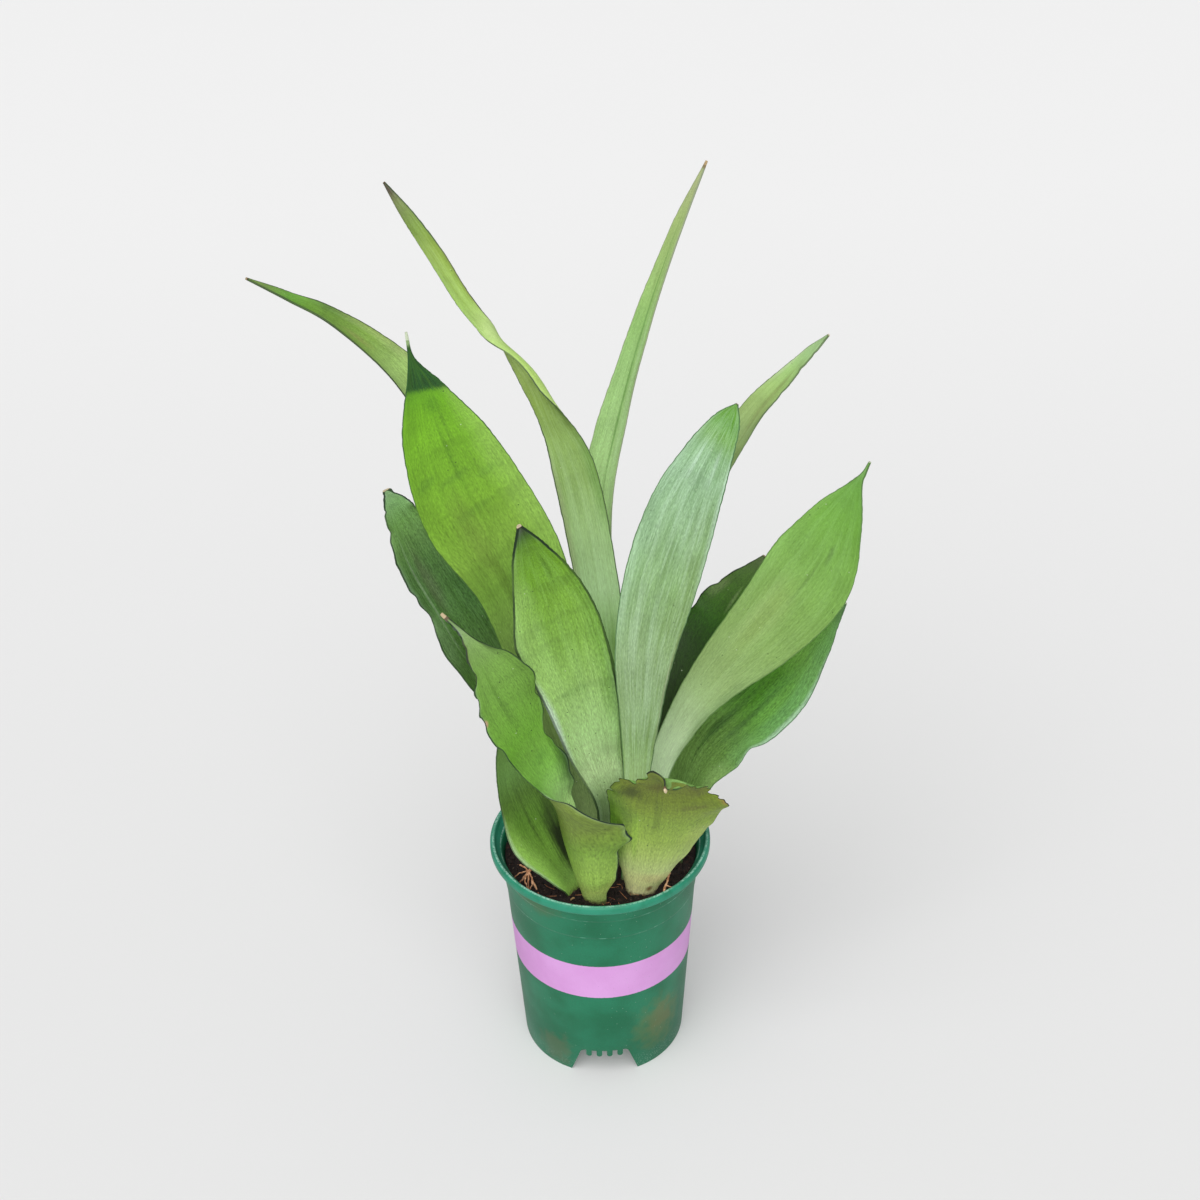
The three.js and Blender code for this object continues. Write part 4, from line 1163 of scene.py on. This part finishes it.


# Middle front blade: broad and upright with a dark beaded tip and dark margins.
# It is silvery towards its foot and left margin, with a painted highlight on that margin, and a deeper
# green at its right, where the shadow of the silvery blade is painted.
blade(
    "leaf_center_front", "leaf_bright",
    stations=[
        (4, -15, 108, 8, 8, -85, 36, 36),
        (5, -15, 150, 8, 8, -85, 32, 28),
        (6, -16, 185, 9, 9, -82, 30, 24),
        (-2, -18, 228, 17, 13, -80, 28, 22),
        (-12, -23, 274, 21, 20, -78, 24, 20),
        (-20, -28, 316, 27, 22, -76, 20, 18),
        (-28, -34, 347, 18, 17, -74, 20, 18),
        (-33, -39, 369, 10, 8.5, -74, 20, 18),
        (-37, -42, 384, 1, 1, -74, 20, 18),
    ],
    waves=[(RIGHT, 3.4, 1.1, 2.0, 4.5)],
    inner=[
        # The first two stops are painted shadow at the foot.
        (1, 90, 110, 70), (2.1, 112, 136, 88), (2.6, 186, 212, 154), (3.2, 164, 200, 130),
        (4, 141, 181, 94), (4.6, 124, 168, 68), (5.4, 115, 161, 49), (6.2, 106, 155, 31),
        (7, 95, 142, 18), (7.5, 58, 96, 8), (7.8, 44, 60, 20),
    ],
    outer=[(1, 140, 168, 104), (6, 108, 148, 52)],
    marks=[
        # The pale strip on the left margin at station 3.6 is a painted highlight, and the darker patch
        # on the right is the painted shadow of the silvery blade.
        (-1.0, 4.9, 0.8, 2.5, (168, 210, 118), 0.55, 1), (-1.0, 3.6, 0.25, 0.9, (206, 226, 210), 0.8, 1),
        (1.0, 4.2, 0.5, 2.4, (96, 142, 44), 0.6, 1), (0.35, 6.2, 0.12, 0.7, (76, 116, 26), 0.45, 1),
        (-0.1, 3.9, 0.8, 0.06, (104, 142, 70), 0.3, 1), (0.2, 4.1, 0.1, 0.7, (112, 150, 70), 0.35, 1),
    ],
    ripple=(80.0, 0.5), veins=0.17, bands=0.2, texture=1.0, bloom=0.04, margin=(16, 42, 12),
    margin_width=1.15, glow=0.05, specks=1.2, tip=(2.2, (206, 188, 160), (52, 46, 32)),
)


# Silvery blade: long and upright, the palest of all, with the wax that gives the plant its name.
# Fine lines run along it, its tip is fresh green and its right margin pale.
blade(
    "leaf_silver_right", "leaf_silver",
    stations=[
        (18, -27, 108, 7, 7, -95, 30, 30),
        (20, -27, 150, 8, 8, -95, 26, 26),
        (22, -26, 208, 8, 7, -98, 20, 20),
        (24, -26, 252, 12, 11, -100, 18, 18),
        (27, -26, 295, 17, 16, -104, 18, 18),
        (35, -25, 338, 20, 20.5, -108, 18, 18),
        (47, -23, 379, 19, 19, -110, 18, 18),
        (59, -20, 409, 13, 14, -112, 18, 18),
        (68, -18, 427, 7.5, 8, -112, 16, 16),
        (73, -16, 436, 0.7, 0.7, -112, 16, 16),
    ],
    inner=[
        (1, 150, 180, 110), (2, 168, 195, 132), (2.5, 147, 179, 114), (3, 135, 164, 108),
        (4, 131, 160, 108), (5, 128, 164, 106), (6, 132, 168, 122), (6.6, 134, 171, 127),
        (7.1, 124, 165, 112), (7.5, 106, 154, 68), (8, 86, 145, 25), (8.6, 90, 144, 30),
    ],
    outer=[(1, 142, 172, 104), (6, 138, 174, 120), (8.5, 110, 160, 64)],
    marks=[
        (1.0, 4.3, 1.0, 2.9, (120, 150, 80), 0.45, 1), (-1.0, 5.7, 0.6, 2.4, (152, 190, 152), 0.35, 1),
        (0.05, 6.7, 0.1, 0.7, (96, 134, 84), 0.5, 1), (-0.35, 6.9, 0.1, 0.5, (186, 212, 190), 0.4, 1),
        (0.4, 6.9, 0.1, 0.5, (184, 210, 188), 0.35, 1), (0.0, 4.9, 0.14, 1.2, (110, 142, 88), 0.35, 1),
        (1.0, 6.2, 0.16, 1.4, (186, 214, 190), 0.5, 1), (1.0, 3.4, 0.14, 1.2, (112, 72, 50), 0.4, 1),
        (0.0, 8.4, 2.0, 0.8, (88, 146, 28), 0.7, 1),
    ],
    ripple=(90.0, 0.4), veins=0.15, bands=0.08, texture=0.55, bloom=0.2, margin=(72, 110, 66),
    margin_width=0.45, glow=0.1, specks=0.7, tip=(1.0, (120, 120, 80), (40, 64, 26)),
)


# Low right blade: a broad leaf that arches out to the right below the big one, waved at its edge.
# Painted shade darkens its trough and painted light brightens its rise, and its outer margin is bluish,
# partly wax and partly a painted highlight.
blade(
    "leaf_low_right", "leaf_dark",
    stations=[
        (43, -8, 108, 8, 8, -130, 40, 40),
        (45, -10, 150, 9, 8, -130, 38, 38),
        (52, -10, 197, 16, 17, -128, 34, 34),
        (63, -9, 222, 20, 24, -125, 28, 28),
        (81, -8, 242, 24, 26, -125, 24, 24),
        (101, -8, 267, 24, 25, -125, 22, 22),
        (120, -8, 295, 15, 14.5, -125, 22, 22),
        (129, -8, 305, 7, 6, -125, 20, 20),
        (135, -8, 312, 0.8, 0.8, -125, 20, 20),
    ],
    waves=[(RIGHT, 3.7, 0.28, 0, -4)],
    inner=[
        (1, 92, 124, 60), (2.3, 104, 138, 67), (3, 92, 127, 56), (3.6, 88, 129, 49), (4.4, 75, 130, 31),
        (5, 77, 131, 34), (5.5, 100, 148, 56), (6, 100, 150, 60), (7.4, 78, 116, 60),
    ],
    outer=[(1, 84, 114, 54), (7, 86, 126, 58)],
    marks=[
        # The dark streaks in the trough are painted shade, the pale patches on the rise painted light,
        # and the bluish strip on the right margin partly a painted highlight.
        (1.0, 5.3, 0.9, 2.9, (124, 178, 110), 0.55, 1), (1.0, 2.3, 0.6, 0.9, (152, 186, 112), 0.5, 1),
        (-0.1, 3.5, 0.14, 1.3, (46, 82, 24), 0.65, 1), (0.25, 3.9, 0.08, 1.0, (50, 86, 26), 0.6, 1),
        (-0.3, 4.4, 0.1, 0.9, (54, 90, 30), 0.5, 1), (0.45, 4.6, 0.2, 0.9, (108, 164, 58), 0.5, 1),
        (1.0, 4.6, 0.14, 1.6, (186, 216, 192), 0.6, 1),
    ],
    ripple=(60.0, 0.5), veins=0.2, bands=0.1, texture=1.1, bloom=0.02, margin=(70, 104, 66),
    margin_width=0.5, glow=0.08, specks=0.9, tip=(1.5, (170, 180, 150), (70, 84, 54)),
)


# Big right blade: a broad, even leaf on a narrow stalk-like foot, arched to the right.
# Pale at its foot, fresh green above, with a small hooked tip.
blade(
    "leaf_big_right", "leaf_bright",
    stations=[
        (33, -14, 108, 7, 7, -112, 40, 40),
        (31, -15, 150, 8, 8, -114, 36, 36),
        (34, -17, 206, 7, 8, -116, 32, 32),
        (50, -18, 247, 11, 11, -118, 28, 28),
        (67, -20, 275, 15.5, 15.5, -120, 24, 24),
        (93, -26, 314, 21, 24, -120, 20, 20),
        (113, -30, 347, 24, 26, -120, 20, 20),
        (125, -33, 378, 15, 15.5, -120, 20, 20),
        (132.5, -34, 399, 3.6, 3.6, -120, 20, 20),
        (135.5, -34, 405, 1.3, 1.3, -120, 20, 20),
        (138, -34, 411.5, 0.6, 0.6, -120, 20, 20),
    ],
    inner=[
        (1, 190, 214, 170), (2, 210, 230, 192), (2.5, 190, 211, 170), (3, 172, 196, 146),
        (3.5, 150, 176, 118), (4, 143, 170, 105), (4.6, 131, 162, 90), (5.2, 125, 161, 82),
        (6, 119, 163, 74), (7, 110, 162, 61), (8, 101, 154, 58), (9.3, 112, 160, 80),
    ],
    outer=[(1, 156, 182, 126), (8, 104, 152, 64)],
    marks=[
        (1.0, 3.3, 0.5, 1.7, (110, 138, 84), 0.6, 1), (-1.0, 6.5, 0.4, 1.6, (138, 188, 92), 0.4, 1),
        (0.2, 6.4, 0.08, 0.25, (64, 88, 44), 0.4, 1), (-0.2, 5.0, 0.5, 0.9, (146, 168, 96), 0.35, 1),
        (0.05, 5.8, 0.05, 0.5, (84, 112, 58), 0.35, 1), (1.0, 7.3, 0.15, 1.0, (84, 130, 46), 0.5, 1),
    ],
    ripple=(90.0, 0.4), veins=0.09, bands=0.06, texture=0.65, bloom=0.04, margin=(84, 120, 60),
    margin_width=0.42, specks=0.9, tip=(1.2, (190, 200, 168), (130, 160, 104)),
)


# Low left blade: a short leaf at the front left of the pot, channelled, with painted shade in its
# trough.
# Its outer margin is pale, partly from wax and partly a painted highlight.
blade(
    "leaf_low_left", "leaf_dark",
    stations=[
        (-16, -34, 110, 8, 7, -50, 46, 46),
        (-15, -35, 137, 9, 7, -50, 44, 44),
        (-25, -36, 158, 14, 13, -52, 38, 38),
        (-35, -36, 182, 22, 17, -55, 30, 30),
        (-44, -34, 206, 16, 17, -58, 26, 26),
        (-50, -32, 226, 9, 13, -60, 24, 24),
        (-54, -30, 243, 0.8, 0.8, -60, 24, 24),
    ],
    inner=[
        (0.8, 160, 200, 96), (1.5, 112, 148, 68), (2, 106, 145, 58), (2.6, 100, 140, 50),
        (3.4, 85, 125, 40), (4, 82, 116, 44), (4.7, 99, 138, 68), (5.5, 100, 138, 66),
    ],
    outer=[(1, 92, 126, 52), (5, 74, 104, 42)],
    marks=[
        # The dark patches in the trough and on the right half are painted shade, and the pale strip on
        # the left margin is partly a painted highlight.
        (-1.0, 2.3, 0.75, 1.7, (160, 208, 98), 0.75, 1), (0.6, 2.4, 0.5, 1.4, (20, 28, 8), 0.95, 1),
        (-1.0, 2.6, 0.16, 1.6, (196, 222, 184), 0.55, 1), (-0.1, 3.4, 0.1, 1.0, (58, 84, 26), 0.5, 1),
        (0.9, 3.5, 0.5, 0.8, (56, 78, 26), 0.6, 1),
    ],
    ripple=(40.0, 0.4), veins=0.15, bands=0.1, texture=1.1, margin=(34, 58, 28), margin_width=0.6,
    glow=0.05, specks=1.0, tip=(1.5, (150, 140, 104), (52, 52, 32)),
)


# Left front blade: rolled into a sheath at its foot, so that its olive back shows there, and open
# above. Its margins are dark, waved and nicked where it was rubbed.
blade(
    "leaf_left_front", "leaf_bright",
    stations=[
        (-7, -42, 110, 9, 6, 40, 60, 50),
        (-8, -43, 136, 13, 7, 36, 80, 60),
        (-13, -44, 155, 25, 13, 20, 100, 70),
        (-19, -46, 183, 36, 19, 12, 108, 70),
        (-23, -45, 206, 29, 19, 5, 80, 60),
        (-29, -42, 227, 20, 17, -32, 50, 40),
        (-38, -42, 255, 22, 14, -52, 30, 26),
        (-48, -46, 281, 19, 19, -72, 22, 22),
        (-58, -48, 302, 9, 16, -74, 20, 20),
        (-67, -49, 323, 3, 3, -74, 20, 20),
        (-78, -51, 338, 0.8, 0.8, -70, 20, 20),
    ],
    waves=[
        (LEFT, 3.6, 0.35, 9, 2), (LEFT, 3.5, 0.2, 4.5, -4.5), (LEFT, 3.15, 0.2, 8.5, 0),
        (LEFT, 2.0, 0.5, 3.0, 0), (LEFT, 4.35, 0.3, 0, -5.0), (LEFT, 6.2, 0.16, 0, -1.6),
        (LEFT, 6.9, 0.12, 0, -1.2), (RIGHT, 8.7, 0.5, 0, -2.0), (LEFT, 8.0, 0.14, 0, -1.6),
        (LEFT, 8.7, 0.1, 0, -1.0), (RIGHT, 5.7, 0.5, 1.5, -5.0), (RIGHT, 6.72, 0.13, 0, -2.4),
        (RIGHT, 7.25, 0.2, 0, 1.2),
    ],
    tears=[(LEFT, 6.8, 9.8, 2.6, 3.0), (LEFT, 2.6, 4.3, 2.4, 3.4), (RIGHT, 5.2, 7.2, 1.6, 4.0)],
    inner=[
        (1, 132, 166, 96), (3.6, 180, 216, 138), (4.2, 176, 220, 136), (4.6, 150, 198, 108),
        (5.1, 126, 180, 76), (5.6, 112, 163, 60), (6, 101, 153, 47), (7, 106, 152, 56),
        (8, 111, 152, 66), (8.6, 121, 157, 82), (9.2, 132, 162, 104), (9.7, 120, 150, 90),
    ],
    outer=[
        (0.8, 150, 180, 100), (1.5, 184, 206, 110), (2, 148, 180, 86), (2.5, 124, 158, 64),
        (3, 104, 138, 46), (3.6, 102, 124, 46), (4.5, 106, 126, 52), (8, 90, 116, 48),
    ],
    marks=[
        # At station 4.8 the dark patch on the right half is painted shade where that half curls up, and
        # at 4.6 the pale strip on the left margin is a painted highlight.
        (1.0, 4.8, 0.6, 1.0, (42, 72, 26), 0.85, 1), (1.0, 7.0, 0.6, 1.8, (84, 124, 36), 0.5, 1),
        (-0.2, 7.4, 0.1, 1.2, (80, 120, 38), 0.5, 1), (-1.0, 7.8, 0.5, 0.9, (92, 136, 44), 0.4, 1),
        (-0.8, 9.3, 0.5, 0.35, (116, 128, 128), 0.6, 1), (-1.0, 8.6, 0.22, 0.7, (112, 84, 60), 0.6, 1),
        (0.9, 8.7, 0.35, 0.45, (40, 66, 20), 0.7, 1), (-0.9, 4.6, 0.2, 0.5, (206, 222, 196), 0.6, 1),
        (-0.6, 2.3, 0.4, 0.9, (152, 190, 84), 0.5, 0), (-0.1, 3.6, 0.3, 0.8, (78, 96, 30), 0.5, 0),
        (-0.95, 6.9, 0.12, 0.1, (206, 150, 130), 0.7, 1), (0.1, 5.4, 0.5, 0.2, (88, 138, 48), 0.4, 1),
    ],
    ripple=(26.0, 0.8), veins=0.14, bands=0.12, texture=1.2, margin=(20, 42, 30), margin_width=0.68,
    glow=0.08, specks=1.4, tip=(4.0, (206, 184, 148), (110, 96, 74)),
)


# Front right blade: short, broad and bent back over the plant, so that its olive back is seen.
# Its torn top edge is jagged, with a dried bead at the point and a brown patch at the foot.
blade(
    "leaf_front_right", "leaf_olive",
    stations=[
        (23, -40, 110, 8, 8, 86, 46, 46),
        (23, -41, 137, 10, 10, 86, 44, 44),
        (27, -50, 163, 18, 19, 84, 40, 36),
        (31, -59, 189, 25, 27, 82, 36, 30),
        (34, -67, 211, 30, 31, 80, 34, 26),
        (35, -73, 227, 31, 33, 80, 34, 24),
        (35, -76, 241, 23, 24, 80, 34, 24),
        (34, -79, 250, 11, 8, 80, 30, 24),
        (35, -87, 248, 1, 1, 80, 30, 30),
    ],
    waves=[
        (LEFT, 4.7, 0.4, 0, 4.5), (LEFT, 5.5, 0.14, 0, -3.0), (LEFT, 6.8, 0.8, -6.5, 0),
        (RIGHT, 6.4, 0.2, -4.0, 0), (RIGHT, 7.2, 0.3, 2.0, 0), (RIGHT, 5.0, 0.3, 0, -1.5),
    ],
    tears=[(RIGHT, 4.4, 7.6, 2.6, 2.6), (LEFT, 4.9, 7.7, 2.2, 2.4)],
    inner=[(1, 124, 156, 82), (6, 122, 164, 84), (8, 110, 148, 76)],
    outer=[
        (0.8, 222, 214, 164), (1.5, 218, 220, 152), (2, 172, 188, 120), (2.6, 152, 175, 90),
        (3.2, 136, 163, 68), (4, 123, 150, 56), (4.6, 115, 137, 45), (5.4, 101, 118, 35),
        (6, 97, 110, 35), (7, 100, 114, 40),
    ],
    marks=[
        (1.0, 3.8, 0.6, 2.2, (66, 104, 24), 0.75, 0), (-0.8, 3.4, 0.5, 0.7, (162, 184, 86), 0.5, 0),
        (0.62, 5.5, 0.26, 0.5, (40, 48, 18), 0.7, 0), (0.15, 6.2, 0.3, 0.5, (66, 58, 24), 0.5, 0),
        (-0.28, 1.3, 0.2, 0.16, (112, 66, 30), 0.85, 0), (0.45, 3.3, 0.1, 1.2, (146, 188, 66), 0.45, 0),
        (-0.7, 5.9, 0.3, 0.5, (80, 84, 30), 0.5, 0), (0.1, 4.4, 0.08, 1.2, (86, 106, 34), 0.5, 0),
        (-0.3, 1.7, 0.7, 0.3, (170, 150, 108), 0.4, 0), (-1.0, 5.0, 0.1, 0.3, (150, 92, 70), 0.5, 0),
        (-0.5, 5.0, 0.35, 0.15, (92, 96, 40), 0.5, 0), (0.85, 2.6, 0.3, 0.6, (96, 134, 40), 0.4, 0),
    ],
    ripple=(24.0, 0.8), veins=0.13, bands=0.14, texture=1.25, margin=(32, 40, 22), margin_width=0.4,
    specks=1.4, tip=(3.0, (214, 196, 160), (110, 84, 60)),
)


# Fine roots lie bare on the soil: a tuft that breaks out at the left, and one at the right.
# They are straw-coloured, forked and knobbly, with their ends in the soil.
ROOT_POINTS = 60
ROOT_SIDES = 8
ROOT_WOBBLE = 0.16
ROOT_KNOTS = 0.22


def root_finish():
    """Dry straw-coloured bark, darker in its joints and where it enters the soil."""
    material, start, place = new_finish("fine_root")
    tint = place.noise(380.0, 3.0)
    color = start.ink(228, 178, 138).painted((176, 120, 82), tint.step(0.35, 0.6))
    height = place.split()[2] / MM
    color = color.painted((110, 70, 48), (1 - height.step(136.0, 138.4)) * 0.7)
    dress(material, color, 0.6 + 0.2 * tint, place.noise(1500.0), 0.0002)
    return material


def roots(name, node, routes):
    """A group of roots as one piece: x, y and height over the soil of each, thick then thin.

    Each runs through its points as along_stations does, and wobbles and swells by sines.
    """
    lines, widths = [], []
    u = np.linspace(0, 1, ROOT_POINTS)
    wobble = ROOT_WOBBLE * np.stack([np.sin(u * 23), np.cos(u * 31), np.sin(u * 17 + 1)], axis=1)
    knots = 1 + ROOT_KNOTS * np.sin(u * 37) * np.sin(u * 13)
    for points, thick, thin in routes:
        points = np.array(points, float)
        points[:, 2] += packed_top(points[:, 0], points[:, 1])
        lines.append(along_stations(points, u) + wobble)
        widths.append((thick + (thin - thick) * u) * knots)
    points, faces = strands(np.array(lines), np.array(widths), ROOT_SIDES)
    piece = new_piece(name, points, faces, root_material, 60.0)
    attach(piece, "root")
    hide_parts(node)


root_material = root_finish()
roots("roots_left_tuft", "roots_left", [
    ([(-50, -12, -1.6), (-46, -16, 1.2), (-42, -22, 2.2), (-39, -30, 1.4), (-35, -41, -1.8)], 0.45, 0.6),
    ([(-47, -26, -1.6), (-44, -24, 1.4), (-42, -22, 2.2), (-38, -19, 1.4), (-33, -21, -1.6)], 0.7, 0.4),
    ([(-42, -33, -1.6), (-42, -28, 1.6), (-42, -22, 2.2), (-40, -15, 1.2), (-41, -9, -1.6)], 0.5, 0.5),
    ([(-42, -22, 2.0), (-44, -27, 2.0), (-43, -32, 1.4), (-41, -36, -1.0)], 0.6, 0.3),
    ([(-42, -22, 2.0), (-40, -27, 2.2), (-40, -32, 1.0), (-42, -35, -1.0)], 0.5, 0.3),
    ([(-43, -21, 2.0), (-48, -22, 1.4), (-51, -24, -0.8)], 0.4, 0.25),
])
roots("root_right_strand", "root_right", [
    ([(38, -20, -1.8), (40, -25, 1.3), (39, -32, 2.2), (37, -38, 1.2), (35, -43, -1.8)], 0.5, 0.75),
    ([(39, -31, 2.0), (37, -30, 1.6), (35.5, -29, 0.2)], 0.4, 0.2),
    ([(37, -37, 1.6), (39, -38, 1.8), (41, -38, 0.2)], 0.4, 0.2),
])


# Papery brown scales are what is left of the first small leaves, at the foot of the sheath.
# They are thin, curled and straw-coloured, and lie loose on the soil.
SCALE_POINTS = 24
SCALE_ARCH = 2.4
SCALES = [               # one end, the other end (x, y, height over the soil), and the width
    ((-17.5, -46.0, 0.8), (-15.0, -50.0, 6.0), 1.1),
    ((-13.5, -50.5, 0.6), (-10.5, -54.0, 2.4), 1.0),
    ((-16.0, -49.0, 0.6), (-16.5, -53.5, 1.8), 0.7),
]
u = np.linspace(0, 1, SCALE_POINTS)[None, :, None]
ends = np.array([[low, high] for low, high, width in SCALES], float)
ends[..., 2] += SOIL_TOP
routes = ends[:, :1] * (1 - u) + ends[:, 1:] * u
routes = routes + np.array([0.0, 0.0, SCALE_ARCH]) * u * (1 - u)
wide = np.array([width for low, high, width in SCALES])[:, None]
belly = np.sin(np.pi * (0.08 + 0.9 * u[..., 0])) ** 0.6
points, faces = strands(routes, wide / 2 * belly, ROOT_SIDES)


def scale_finish():
    """Dry straw skin with darker lengthwise veins."""
    material, start, place = new_finish("dry_scale")
    tint = place.noise(600.0, 3.0)
    color = start.ink(226, 192, 140).painted((150, 100, 60), tint.step(0.4, 0.6))
    dress(material, color, 0.55 + 0.2 * tint, tint, 0.0002)
    return material


scales = new_piece("dry_scales", points, faces, scale_finish(), 60.0)
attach(scales, "root")


# The floor is a plain pale studio floor of matt paper that runs back beyond the view.
# Painted light makes it a little brighter towards the back, and no piece is fixed to it.
FLOOR_HALF = 8.0         # metres
floor_mesh = bpy.data.meshes.new("floor")
corners = np.array([[-1, -1, 0], [1, -1, 0], [1, 1, 0], [-1, 1, 0]]) * FLOOR_HALF
floor_mesh.from_pydata(corners.tolist(), [], [(0, 1, 2, 3)])
floor = bpy.data.objects.new("floor", floor_mesh)
floor_material, start, floor_place = new_finish("floor_paper")
paper = floor_place.noise(3.0, 2.0)
color = start.ink(230, 230, 230).painted((228, 228, 228), paper)
# Painted light: the colour grows brighter towards the back.
color = color.painted((238, 238, 238), floor_place.split()[1].step(0.0, 1.6))
dress(floor_material, color, 0.75 + 0.1 * paper)
floor_mesh.materials.append(floor_material)
bpy.context.scene.collection.objects.link(floor)


# The light is a soft sky lamp from above and the front left, a pale room all round, and a weak
# front lamp without shadows that lifts the deep places among the blades.
ROOM_LIGHT = 0.42


def sky_lamp(name, toward, power, softness, shadows):
    """A far lamp that shines from a direction, with its softness as an angle in degrees."""
    light = bpy.data.lights.new(name, "SUN")
    light.energy = power
    light.angle = np.radians(softness)
    light.use_shadow = shadows
    lamp = bpy.data.objects.new(name, light)
    back = unit(np.array(toward, float))
    aside = unit(np.cross([0.0, 0.0, 1.0], back))
    lamp.matrix_world = stance(aside, np.cross(back, aside), back, back)
    bpy.context.scene.collection.objects.link(lamp)


sky_lamp("sky_lamp", (-0.2, -0.62, 0.95), power=1.75, softness=60, shadows=True)
sky_lamp("front_lamp", (0.05, -0.85, 0.55), power=0.95, softness=30, shadows=False)
room = bpy.data.worlds.new("room")
room.use_nodes = True
room_light = room.node_tree.nodes["Background"]
room_light.inputs["Color"].default_value = (1.0, 1.0, 1.0, 1.0)
room_light.inputs["Strength"].default_value = ROOM_LIGHT
bpy.context.scene.world = room
bpy.context.scene.view_settings.view_transform = "Standard"
